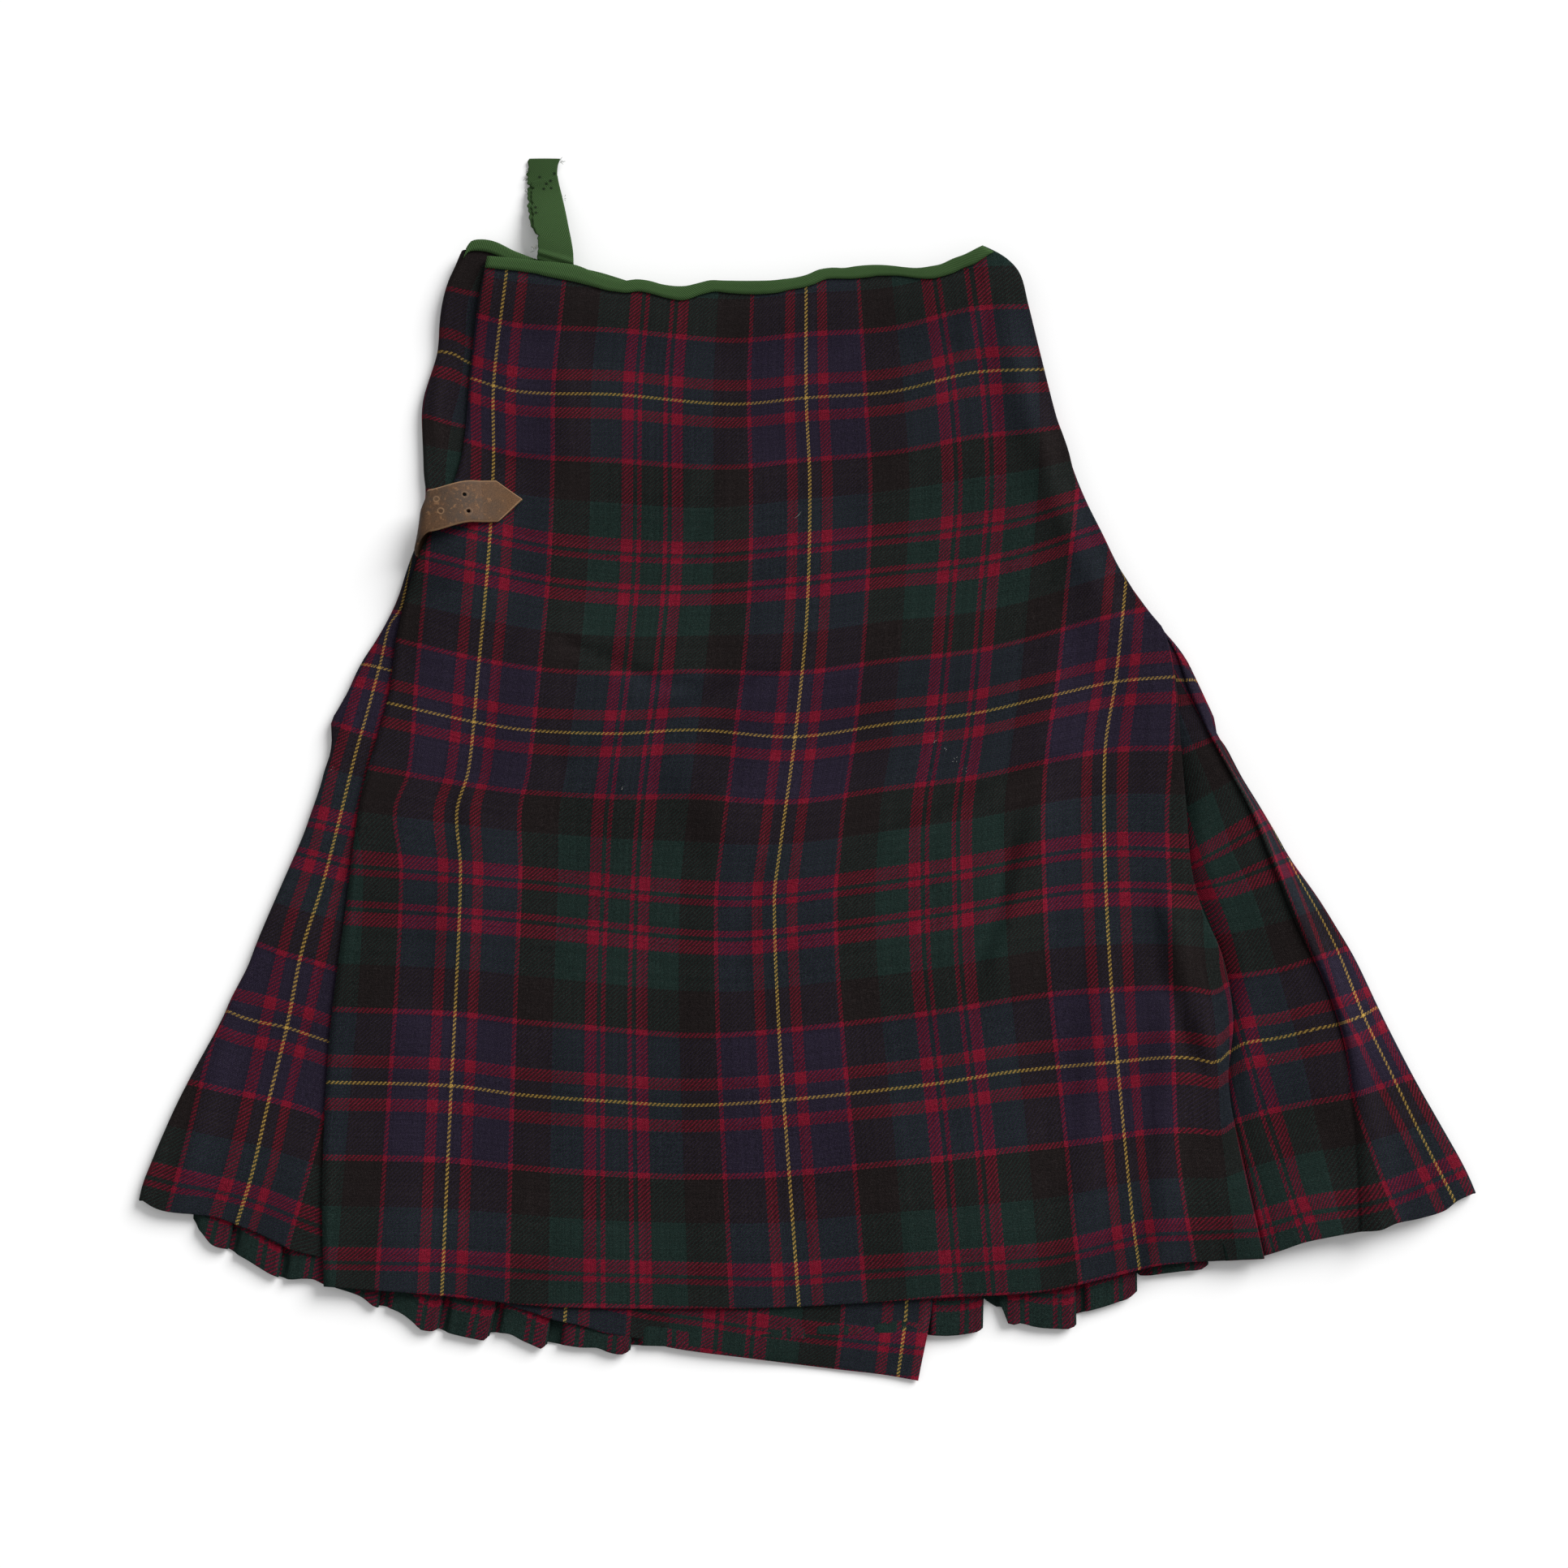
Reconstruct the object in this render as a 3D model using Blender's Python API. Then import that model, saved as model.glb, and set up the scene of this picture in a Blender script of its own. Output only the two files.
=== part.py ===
"""Pleated wool kilt laid flat on a surface, front up, waist towards +Y.

Each cloth piece is a sheet laid out as a patch between its own edges, lifted by
the layers under it and given an even wall, mitred at its folds.
All tables are in millimetres. Drop is measured down from the waist line.
"""
import math
from collections import namedtuple

import bmesh
import bpy
from mathutils import Vector

MM = 0.001

# Cloth, tape and leather
CLOTH = 1.2              # thickness of the twill
TAPE = 0.8               # thickness of the waist tape
TAPE_CLEAR = 0.3         # clear space between the cloth and the tape on it
BINDING_LEG = 7.0        # how far a leg of the binding reaches down from the waist edge
SEAM_GAP = 0.4           # clear space between two layers
LAYER = CLOTH + SEAM_GAP
WAIST_Y = 300.0          # the waist line, above the origin

# Heights of the middle of each layer
BACK_LEVELS = [CLOTH / 2 + LAYER * level for level in range(3)]
LOWER_LEVEL = BACK_LEVELS[2] + LAYER       # under apron and side panel
UPPER_LEVEL = LOWER_LEVEL + LAYER          # over apron
TAPE_STEP = TAPE + TAPE_CLEAR              # room that one leg of the binding takes
SIDE_ROLL = 3.0                            # how far a side fold bulges past its crease
LIFT_START = 62.0                          # the layers start to rise this far below the waist
LIFT_RUN = 48.0                            # and have risen fully after this run

Side = namedtuple("Side", "drop left right")
SIDES = [
    Side(-4, -210, 110), Side(3, -213, 121), Side(13, -217, 131), Side(33, -221, 135),
    Side(62, -225, 141), Side(105, -230, 150), Side(140, -228, 160), Side(170, -230, 172),
    Side(197, -236, 186), Side(238, -251, 212), Side(278, -274, 233), Side(300, -279, 242),
    Side(328, -284, 254), Side(387, -304, 290), Side(439, -323, 319), Side(493, -348, 342),
    Side(563, -377, 377),
]
SIDE_HEM_DROP = SIDES[-1].drop

Edge = namedtuple("Edge", "x y")
OVER_WAIST = [
    Edge(-194, 297), Edge(-148, 292), Edge(-112, 283), Edge(-66, 280), Edge(-23, 282),
    Edge(10, 289), Edge(66, 290), Edge(92, 297), Edge(108, 304),
]
OVER_HEM = [
    Edge(-270, -314), Edge(-204, -319), Edge(-143, -325), Edge(-61, -326), Edge(-6, -325),
    Edge(77, -320), Edge(130, -317), Edge(169, -309), Edge(200, -302), Edge(254, -299),
]
OVER_LEFT = [
    Edge(-194, 297), Edge(-199, 267), Edge(-202, 227), Edge(-206, 172), Edge(-214, 145),
    Edge(-230, 108), Edge(-241, 62), Edge(-245, 24), Edge(-259, -36), Edge(-265, -96),
    Edge(-272, -175), Edge(-273, -260), Edge(-270, -314),
]
OVER_RIGHT = [
    Edge(108, 304), Edge(121, 296), Edge(129, 286), Edge(133, 267), Edge(139, 238),
    Edge(148, 195), Edge(158, 160), Edge(184, 103), Edge(209, 62), Edge(215, 35),
    Edge(217, -8), Edge(222, -70), Edge(227, -105), Edge(241, -153), Edge(241, -221),
    Edge(248, -269), Edge(254, -299),
]
UNDER_WAIST = [
    Edge(-208, 303), Edge(-203, 310), Edge(-193, 311), Edge(-179, 305), Edge(-162, 298),
    Edge(-129, 290), Edge(-95, 278), Edge(-50, 275), Edge(0, 278), Edge(40, 283),
]
UNDER_HEM = [
    Edge(-374, -264), Edge(-358, -273), Edge(-321, -280), Edge(-282, -295), Edge(-200, -314),
    Edge(-138, -328), Edge(-83, -345), Edge(-40, -351), Edge(16, -358), Edge(61, -365),
]
UNDER_RIGHT = [
    Edge(40, 283), Edge(45, 200), Edge(56, 0), Edge(67, -200), Edge(70, -315), Edge(61, -365),
]
SIDE_HEM_INNER = [Edge(226, -300), Edge(256, -299), Edge(276, -292), Edge(306, -285)]
SIDE_HEM_OUTER = [Edge(306, -285), Edge(324, -281), Edge(344, -274), Edge(374, -264)]
SIDE_TUCK = 28           # width of the side panel that is hidden under the over apron
SIDE_TOP_DROP = 34       # the side panel stops just under the waist

# The crease between the recessed and the raised part of the side panel
Crease = namedtuple("Crease", "drop x rise")
CREASE = [
    Crease(34, 118, 0), Crease(120, 140, 0), Crease(197, 170, 0), Crease(240, 202, 0),
    Crease(262, 212, 0.8), Crease(296, 228, 2), Crease(351, 253, 3.5), Crease(381, 272, 5.5),
    Crease(411, 286, 7), Crease(451, 298, 7.5), Crease(490, 305, 6), Crease(530, 303, 5),
    Crease(585, 306, 5),
]
CREASE_HEM_DROP = CREASE[-1].drop

# Knife pleats: where each inner fold meets the hem, and how far its first edge is stepped up
Pleat = namedtuple("Pleat", "x y step")
PLEATS = [
    Pleat(-322, -292, 3), Pleat(-297, -305, 2), Pleat(-270, -313, 3), Pleat(-240, -325, 2),
    Pleat(-207, -337, 2), Pleat(-178, -342, 2), Pleat(-146, -347, 6), Pleat(-99, -350, 3),
    Pleat(-66, -347, 3), Pleat(-34, -345, 3), Pleat(-2, -343, 3), Pleat(30, -341, 3),
    Pleat(62, -340, 3), Pleat(97, -338, 3), Pleat(149, -337, 11), Pleat(184, -316, 7),
    Pleat(224, -302, 7), Pleat(262, -288, 4), Pleat(300, -272, 4), Pleat(337, -258, 4),
]
PLEAT_DEPTH = 0.8        # depth of a fold as a share of the space between two folds
BACK_INSET = 37          # the back starts this far inside the side folds
BACK_WAIST_DROP = 7      # the back's waist edge lies this far under the apron's
BACK_WAIST_Y = 290.0     # where the pleats are shared out at the waist
BACK_ROWS = (0.0, 0.018, 0.05, 0.2, 0.34, 0.48, 0.64, 0.82, 1.0)
WRAP_RETURN = 28         # cloth turned round to the back at the side folds

# Soft folds of the over apron: from, to, half width, height
Fold = namedtuple("Fold", "x1 y1 x2 y2 half height")
OVER_FOLDS = [
    Fold(112, 270, 178, 60, 24, 3.0),
    Fold(150, 60, 130, -60, 30, 2.4),
    Fold(214, -90, 196, -300, 16, 3.0),
    Fold(170, -120, 150, -300, 16, 2.2),
    Fold(-20, 40, -60, -180, 34, 2.6),
    Fold(-150, 60, -200, -120, 28, 2.6),
    Fold(-150, 262, -140, 170, 20, 1.6),
    Fold(-220, -180, -230, -300, 24, 2.0),
    Fold(40, -220, 60, -310, 30, 1.8),
    Fold(-70, 250, -60, 120, 30, 1.6),
]
UNDER_FOLDS = [
    Fold(-330, -150, -350, -250, 14, 3.0),
    Fold(-270, 10, -306, -90, 9, 1.8),
    Fold(-224, 250, -223, 180, 6, 1.2),
]

# Strap at the hip: it leaves up and to the left, turns over on itself and lies to the right
STRAP = {
    "width": 25.5, "thickness": 2.2, "length": 94.5, "point": 15.0, "root": 22.0, "radius": 6.0,
    "foot_x": -222.5, "foot_y": 119.0, "climb": 19.0, "heading_in": 25.0, "heading_out": 3.0,
    "fall_run": 46.0, "arch": 1.6, "arch_run": 30.0, "settle": 2.0,
    "hole": 2.2, "punch_z": 21.5, "punch_depth": 14.0,
}
Hole = namedtuple("Hole", "x y")
STRAP_HOLES = [Hole(-203, 144.5), Hole(-200.5, 134.5), Hole(-219, 141), Hole(-216, 133.5)]

# Hanging loop: the two edges of the tape from its root at the waist to its free end
LoopRow = namedtuple("LoopRow", "left right y")
LOOP_BACK = [
    LoopRow(-163, -141.5, 300), LoopRow(-164.5, -143, 309), LoopRow(-168, -147, 322),
    LoopRow(-171, -150, 335), LoopRow(-171, -152.5, 348), LoopRow(-171, -152, 365),
]
LOOP_FRONT_END = 0.76    # share of the length that the upper layer covers
LOOP_REST = 1.0          # height at which its end comes to lie

WOOL = {"name": "tartan_wool", "colour": (0.030, 0.022, 0.026, 1), "roughness": 0.92}
BINDING = {"name": "green_tape", "colour": (0.030, 0.105, 0.035, 1), "roughness": 0.85}
LEATHER = {"name": "brown_leather", "colour": (0.17, 0.10, 0.055, 1), "roughness": 0.62}


def smooth(t):
    """Ease from 0 to 1."""
    t = min(max(t, 0.0), 1.0)
    return t * t * (3 - 2 * t)


def read(table, key, column, value):
    """One column of a table at a value of its key column, on a smooth line through the rows."""
    rows = sorted(table, key=lambda row: getattr(row, key))
    keys = [getattr(row, key) for row in rows]
    values = [getattr(row, column) for row in rows]
    value = min(max(value, keys[0]), keys[-1])
    last = len(rows) - 1
    i = next((n for n in range(last) if value <= keys[n + 1]), last - 1)

    def slope(n):
        low, high = max(n - 1, 0), min(n + 1, last)
        return (values[high] - values[low]) / (keys[high] - keys[low])

    span = keys[i + 1] - keys[i]
    t = (value - keys[i]) / span
    return (values[i] * (1 + 2 * t) * (1 - t) ** 2 + slope(i) * span * t * (1 - t) ** 2
            + values[i + 1] * t * t * (3 - 2 * t) + slope(i + 1) * span * t * t * (t - 1))


def path(points):
    """A curve through the points, as a function of the share of its length."""
    spots = [Vector((p[0], p[1])) for p in points]
    marks = [0.0]
    for a, b in zip(spots, spots[1:]):
        marks.append(marks[-1] + (b - a).length)
    last = len(spots) - 1

    def slope(n):
        low, high = max(n - 1, 0), min(n + 1, last)
        return (spots[high] - spots[low]) / (marks[high] - marks[low])

    def at(share):
        mark = min(max(share, 0.0), 1.0) * marks[-1]
        i = next((n for n in range(last) if mark <= marks[n + 1]), last - 1)
        span = marks[i + 1] - marks[i]
        t = (mark - marks[i]) / span
        return (spots[i] * (1 + 2 * t) * (1 - t) ** 2 + slope(i) * span * t * (1 - t) ** 2
                + spots[i + 1] * t * t * (3 - 2 * t) + slope(i + 1) * span * t * t * (t - 1))

    return at


def patch(top, bottom, left, right):
    """Plan position inside four edge curves, u from left to right and v from top to bottom."""
    corners = [top(0), top(1), bottom(0), bottom(1)]

    def at(u, v):
        across = top(u) * (1 - v) + bottom(u) * v
        down = left(v) * (1 - u) + right(v) * u
        flat = (corners[0] * (1 - u) + corners[1] * u) * (1 - v) + (
            corners[2] * (1 - u) + corners[3] * u) * v
        return across + down - flat

    return at


def side_edge(column, first_drop, last_drop, inset=0.0, rows=18):
    """The left or right side fold as a list of plan points."""
    drops = [first_drop + (last_drop - first_drop) * n / rows for n in range(rows + 1)]
    return [(read(SIDES, "drop", column, d) + inset, WAIST_Y - d) for d in drops]


def fold_height(folds, x, y):
    """Height of the soft ridges over a plan position."""
    total = 0.0
    for fold in folds:
        along = Vector((fold.x2 - fold.x1, fold.y2 - fold.y1))
        offset = Vector((x - fold.x1, y - fold.y1))
        t = offset.dot(along) / along.length_squared
        ends = smooth((t + 0.25) / 0.35) * smooth((1.25 - t) / 0.35)
        away = abs(offset.x * along.y - offset.y * along.x) / along.length
        total += fold.height * ends * (1 - smooth(away / fold.half))
    return total


def waist_lift(y, x):
    """How far the layers rise towards the waist, where tape is folded over each edge."""
    line = read(OVER_WAIST, "x", "y", x)
    return smooth((y - (line - LIFT_START)) / LIFT_RUN)


def lower_height(x, y):
    """Middle of the under apron."""
    return LOWER_LEVEL + 3 * TAPE_STEP * waist_lift(y, x)


def upper_height(x, y):
    """Middle of the over apron."""
    return lower_height(x, y) + LAYER + 2 * TAPE_STEP * waist_lift(y, x)


def new_material(finish):
    material = bpy.data.materials.new(finish["name"])
    material.use_nodes = True
    shader = material.node_tree.nodes["Principled BSDF"]
    shader.inputs["Base Color"].default_value = finish["colour"]
    shader.inputs["Roughness"].default_value = finish["roughness"]
    shader.inputs["Metallic"].default_value = 0.0
    material.diffuse_color = finish["colour"]
    return material


def half_wall(points, column, row):
    """From a sheet's middle to its face, mitred where the columns turn a corner."""
    line = points[row]
    down = points[min(row + 1, len(points) - 1)][column] - points[max(row - 1, 0)][column]
    sides = []
    for near, far in ((column - 1, column), (column, column + 1)):
        if near >= 0 and far < len(line):
            sides.append(down.cross(line[far] - line[near]).normalized())
    if len(sides) == 1:
        return sides[0]
    return (sides[0] + sides[1]) / max(1 + sides[0].dot(sides[1]), 0.7)


def add_sheet(name, columns, rows, place, thickness, material, collection):
    """A grid, extruded into two faces and a rim, whose points are placed by column and row."""
    points = [[Vector(place(column, row)) for column in range(columns + 1)] for row in range(rows + 1)]
    mesh = bpy.data.meshes.new(name)
    bm = bmesh.new()
    bmesh.ops.create_grid(bm, x_segments=columns, y_segments=rows, size=0.5)
    extruded = bmesh.ops.extrude_face_region(bm, geom=bm.faces[:], use_keep_orig=True)["geom"]
    lifted = {item for item in extruded if isinstance(item, bmesh.types.BMVert)}
    for vert in bm.verts:
        column = round((vert.co.x + 0.5) * columns)
        row = round((0.5 - vert.co.y) * rows)
        side = 1 if vert in lifted else -1
        away = half_wall(points, column, row) * side * thickness / 2
        vert.co = (points[row][column] + away) * MM
    bmesh.ops.triangulate(bm, faces=bm.faces[:], quad_method="FIXED")
    bmesh.ops.recalc_face_normals(bm, faces=bm.faces[:])
    bm.to_mesh(mesh)
    bm.free()
    mesh.materials.append(material)
    sheet = bpy.data.objects.new(name, mesh)
    collection.objects.link(sheet)
    return sheet


def half_turn(centre_x, centre_z, radius, steps, direction=1):
    """Section points of a fold that turns from the top layer to the one under it."""
    points = []
    for n in range(1, steps):
        angle = math.pi * n / steps
        points.append((centre_x + direction * radius * math.sin(angle),
                       centre_z + radius * math.cos(angle)))
    return points


def row_share(row, rows):
    """Rows lie closer together towards the waist."""
    return (row / rows) ** 1.3


def over_apron(material, tape, collection):
    columns, rows, turn, back = 17, 20, 4, 2
    at = patch(path(OVER_WAIST), path(OVER_HEM), path(OVER_LEFT), path(OVER_RIGHT))
    edge_roll = 26.0         # the doubled edge rises over this width
    radius = LAYER / 2 + 0.1
    return_width = 20.0
    edge_room = 0.7          # keeps the fold clear of the side panel
    strap_y, strap_half, strap_lift = 118.0, 26.0, 4.4   # where the strap's root lies under the edge

    def doubled(u, v):
        """Extra height where the right edge is turned under."""
        share = smooth(1 - (at(1, v) - at(u, v)).length / edge_roll * 0.9)
        return (2 * radius + edge_room * smooth(v * 12)) * share

    def lift(u, v):
        spot = at(u, v)
        over_strap = strap_lift * smooth(1.5 - abs(spot.y - strap_y) / strap_half) * smooth(1.6 - u * 13)
        clear = smooth(v * 8) * smooth((1 - u) * 12)
        return (upper_height(spot.x, spot.y) + doubled(u, v) + over_strap
                + clear * fold_height(OVER_FOLDS, spot.x, spot.y))

    def place(column, row):
        v = row_share(row, rows)
        if column <= columns:
            u = column / columns
            spot = at(u, v)
            return (spot.x, spot.y, lift(u, v))
        spot = at(1, v)
        inward = (at(1 - 1 / columns, v) - spot).normalized()
        top = lift(1, v)
        section = half_turn(0, top - radius, radius, turn)
        section += [(-return_width * n / back, top - 2 * radius) for n in range(back + 1)]
        out, height = section[column - columns - 1]
        return (spot.x - inward.x * out, spot.y - inward.y * out, height)

    add_sheet("over_apron", columns + turn - 1 + back + 1, rows, place, CLOTH, material, collection)
    waist_binding("over_binding", place, columns, lambda c: doubled(c / columns, 0), tape, collection)


def under_apron(material, tape, collection):
    columns, rows, turn, back = 13, 17, 4, 2
    left = side_edge("left", -3, SIDE_HEM_DROP, SIDE_ROLL)
    at = patch(path(UNDER_WAIST), path(UNDER_HEM), path(left), path(UNDER_RIGHT))
    wrap = turn - 1 + back + 1

    def height(spot, u, v):
        relief = fold_height(UNDER_FOLDS, spot.x, spot.y) * smooth(u * 30) * smooth(v * 10)
        return lower_height(spot.x, spot.y) + relief

    def place(column, row):
        v = row_share(row, rows)
        if column >= wrap:
            u = ((column - wrap) / columns) ** 1.15
            spot = at(u, v)
            return (spot.x, spot.y, height(spot, u, v))
        spot = at(0, v)
        top = height(spot, 0, v)
        lift = TAPE_STEP * waist_lift(spot.y, spot.x)
        radius = (top - lift - CLOTH / 2) / 2
        section = half_turn(0, lift + CLOTH / 2 + radius, radius, turn, -1)
        section += [(WRAP_RETURN * n / back, lift + CLOTH / 2) for n in range(back + 1)]
        out, low = section[wrap - 1 - column]
        return (spot.x + out, spot.y, low)

    add_sheet("under_apron", wrap + columns, rows, place, CLOTH, material, collection)
    waist_binding("under_binding", place, wrap + columns, lambda c: 0.0, tape, collection)


def side_panel(material, collection):
    inner, outer, rows, turn, back = 4, 8, 15, 4, 2
    drops = [SIDE_TOP_DROP + (CREASE_HEM_DROP - SIDE_TOP_DROP) * n / 16 for n in range(17)]
    crease = [(read(CREASE, "drop", "x", d), WAIST_Y - d) for d in drops]
    crease[-1] = SIDE_HEM_INNER[-1]
    over_edge = sorted(OVER_RIGHT, key=lambda p: p.y)
    hidden = [(read(over_edge, "y", "x", WAIST_Y - d) - SIDE_TUCK, WAIST_Y - d)
              for d in drops]
    hidden[-1] = SIDE_HEM_INNER[0]
    outline = side_edge("right", SIDE_TOP_DROP, SIDE_HEM_DROP, -SIDE_ROLL)

    def run(a, b):
        return path([a, ((a[0] + b[0]) / 2, (a[1] + b[1]) / 2), b])

    recess = patch(run(hidden[0], crease[0]), path(SIDE_HEM_INNER), path(hidden), path(crease))
    raised = patch(run(crease[0], outline[0]), path(SIDE_HEM_OUTER), path(crease), path(outline))
    lip = (0.0, 0.10, 0.24, 0.4, 0.55, 0.7, 0.82, 0.92, 1.0)
    rise_shape = (0.0, 0.62, 0.95, 1.0, 0.9, 0.72, 0.5, 0.26, 0.0)

    def place(column, row):
        v = row / rows
        if column <= inner:
            u = column / inner
            spot = recess(u, v)
            rise = read(CREASE, "drop", "rise", WAIST_Y - spot.y)
            shown = (spot - recess(0, v)).length - SIDE_TUCK
            swell = 0.3 * rise * smooth((shown - 5) / 10) * smooth((1 - u) * 3)
            return (spot.x, spot.y, LOWER_LEVEL + swell)
        if column <= inner + outer:
            n = column - inner
            spot = raised(lip[n], v)
            rise = read(CREASE, "drop", "rise", WAIST_Y - raised(0, v).y)
            return (spot.x, spot.y, LOWER_LEVEL + rise * rise_shape[n])
        spot = raised(1, v)
        radius = (LOWER_LEVEL - CLOTH / 2) / 2
        section = half_turn(0, CLOTH / 2 + radius, radius, turn)
        section += [(-WRAP_RETURN * n / back, CLOTH / 2) for n in range(back + 1)]
        out, low = section[column - inner - outer - 1]
        return (spot.x + out, spot.y, low)

    add_sheet("side_panel", inner + outer + turn - 1 + back + 1, rows, place, CLOTH,
              material, collection)


def pleated_back(material, tape, collection):
    """One sheet folded to and fro: face, fold back, fold forward, next face."""
    count = len(PLEATS)
    bends = 6

    def waist_y(x):
        return read(UNDER_WAIST, "x", "y", x) - BACK_WAIST_DROP

    def edge(side, y):
        """Where the back meets the cloth that turns in from a side fold."""
        column = "left" if side < 0 else "right"
        return read(SIDES, "drop", column, WAIST_Y - y) - side * BACK_INSET

    def fold_at(n, v):
        """Inner fold of pleat n, at v of the way from waist to hem."""
        pleat = PLEATS[n]
        top_share = (n + 0.6) / count
        left, right = edge(-1, pleat.y), edge(1, pleat.y)
        hem_share = (pleat.x - left) / (right - left)
        top_left, top_right = edge(-1, BACK_WAIST_Y), edge(1, BACK_WAIST_Y)
        top_x = top_left + (top_right - top_left) * top_share
        y = waist_y(top_x) + (pleat.y - waist_y(top_x)) * v
        share = top_share + (hem_share - top_share) * v
        return Vector((edge(-1, y) + (edge(1, y) - edge(-1, y)) * share, y))

    def section(v):
        folds = [fold_at(n, v) for n in range(count)]
        raised = TAPE_STEP * smooth((0.04 - v) / 0.02)
        low, middle, high = (level + raised for level in BACK_LEVELS)
        start = Vector((edge(-1, folds[0].y), folds[0].y))
        points = [(start.x, start.y, low)]
        before = start
        for fold, pleat in zip(folds, PLEATS):
            outer = fold.x - (fold.x - before.x) * PLEAT_DEPTH
            ramp = min(2.2, (fold.x - outer) * 0.25)
            y = before.y + pleat.step * v ** 4
            points += [(outer - ramp, y, low), (outer + ramp * 0.4, y, high),
                       (fold.x, fold.y, high), (fold.x, fold.y, middle),
                       (outer + ramp * 0.4, y, middle), (outer + ramp * 0.4, y, low)]
            before = fold
        points.append((edge(1, folds[-1].y), folds[-1].y, low))
        return points

    sections = [section(v) for v in BACK_ROWS]

    def place(column, row):
        return sections[row][column]

    add_sheet("pleated_back", count * bends + 1, len(BACK_ROWS) - 1, place, CLOTH, material, collection)

    # its binding takes in all three layers
    turn_out, start_in, columns = 2.2, 5.0, 12
    low, high = TAPE / 2, BACK_LEVELS[2] + CLOTH / 2 + TAPE_STEP + TAPE_CLEAR + TAPE / 2
    profile = [(-BINDING_LEG, low), (turn_out, low), (turn_out, high), (-BINDING_LEG, high)]
    first, last = sections[0][0][0] + start_in, sections[0][-1][0]

    def place_tape(column, row):
        x = first + (last - first) * row / columns
        out, z = profile[column]
        return (x, waist_y(x) + out, z)

    add_sheet("back_binding", len(profile) - 1, columns, place_tape, TAPE, tape, collection)


def waist_binding(name, cloth, columns, room, material, collection):
    """Tape folded over a sheet's waist edge: a leg behind, the turn, and a leg in front."""
    out = TAPE_CLEAR + TAPE / 2
    reach = CLOTH / 2 + out
    profile = [(BINDING_LEG, -1), (-out, -1), (-out, 1), (BINDING_LEG, 1)]

    def place(column, row):
        edge, next_row = Vector(cloth(row, 0)), Vector(cloth(row, 1))
        down = (next_row - edge).normalized()
        along = Vector(cloth(min(row + 1, columns), 0)) - Vector(cloth(max(row - 1, 0), 0))
        face = down.cross(along).normalized()
        distance, side = profile[column]
        away = reach if side > 0 else -(reach + room(row))
        slide = down * distance if distance > 0 else along.normalized().cross(face) * distance
        return edge + slide + face * away

    add_sheet(name, len(profile) - 1, columns, place, TAPE, material, collection)


def hanging_loop(material, collection):
    """Tape turned up at its root: the lower layer, the turn, and a shorter upper layer."""
    start_z = lower_height(-152, 298) + CLOTH / 2 + TAPE_STEP + TAPE_CLEAR + TAPE / 2
    layer = TAPE + 0.6
    slant_end = 2.8          # the upper layer's end is cut askew
    lengths = [0.0, 0.12, 0.28, 0.46, 0.64, 0.82, 1.0]

    def row_at(share, bottom):
        y = LOOP_BACK[0].y + (LOOP_BACK[-1].y - LOOP_BACK[0].y) * share
        fall = smooth((share - 0.12) / 0.75)
        z = start_z + (LOOP_REST - start_z) * fall
        left = read(LOOP_BACK, "y", "left", y)
        right = read(LOOP_BACK, "y", "right", y)
        return left, right, y, z if bottom else z + layer

    stations = [row_at(s, True) for s in reversed(lengths)]
    root = LOOP_BACK[0]
    stations.append((root.left, root.right, root.y - 0.9, start_z + layer / 2))
    stations += [row_at(s * LOOP_FRONT_END, False) for s in lengths]

    def place(column, row):
        left, right, y, z = stations[column]
        x = left + (right - left) * row / 2
        slant = slant_end * (row - 1) * (column / (len(stations) - 1)) ** 6
        return (x, y + slant, z)

    add_sheet("hanging_loop", len(stations) - 1, 2, place, TAPE, material, collection)


def strap_point(s, w):
    """A point of the strap's middle surface, s along it from the root and w across it."""
    radius, root = STRAP["radius"], STRAP["root"]
    low = LOWER_LEVEL + (CLOTH + STRAP["thickness"]) / 2 + TAPE_CLEAR
    settled = UPPER_LEVEL + (CLOTH + STRAP["thickness"]) / 2 + STRAP["settle"]
    heading_in, heading_out = (math.radians(STRAP[key]) for key in ("heading_in", "heading_out"))
    turn = min(max((s - root) / (math.pi * radius), 0.0), 1.0)
    lean = heading_in - (heading_in + heading_out) * smooth(turn)
    centre = Vector((STRAP["foot_x"] - radius * math.sin(math.pi * turn),
                     STRAP["foot_y"] + STRAP["climb"] * smooth(turn)))
    z = low + radius * (1 - math.cos(math.pi * turn))
    if s < root:
        centre += Vector((math.cos(heading_in), -math.sin(heading_in))) * (root - s)
    run = max(s - root - math.pi * radius, 0.0)
    centre += Vector((math.cos(heading_out), math.sin(heading_out))) * run
    z -= (low + 2 * radius - settled) * smooth(run / STRAP["fall_run"])
    z += STRAP["arch"] * math.sin(min(run / STRAP["arch_run"], 1) * math.pi)
    spot = centre + Vector((math.sin(lean), math.cos(lean))) * w
    return (spot.x, spot.y, z)


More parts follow.
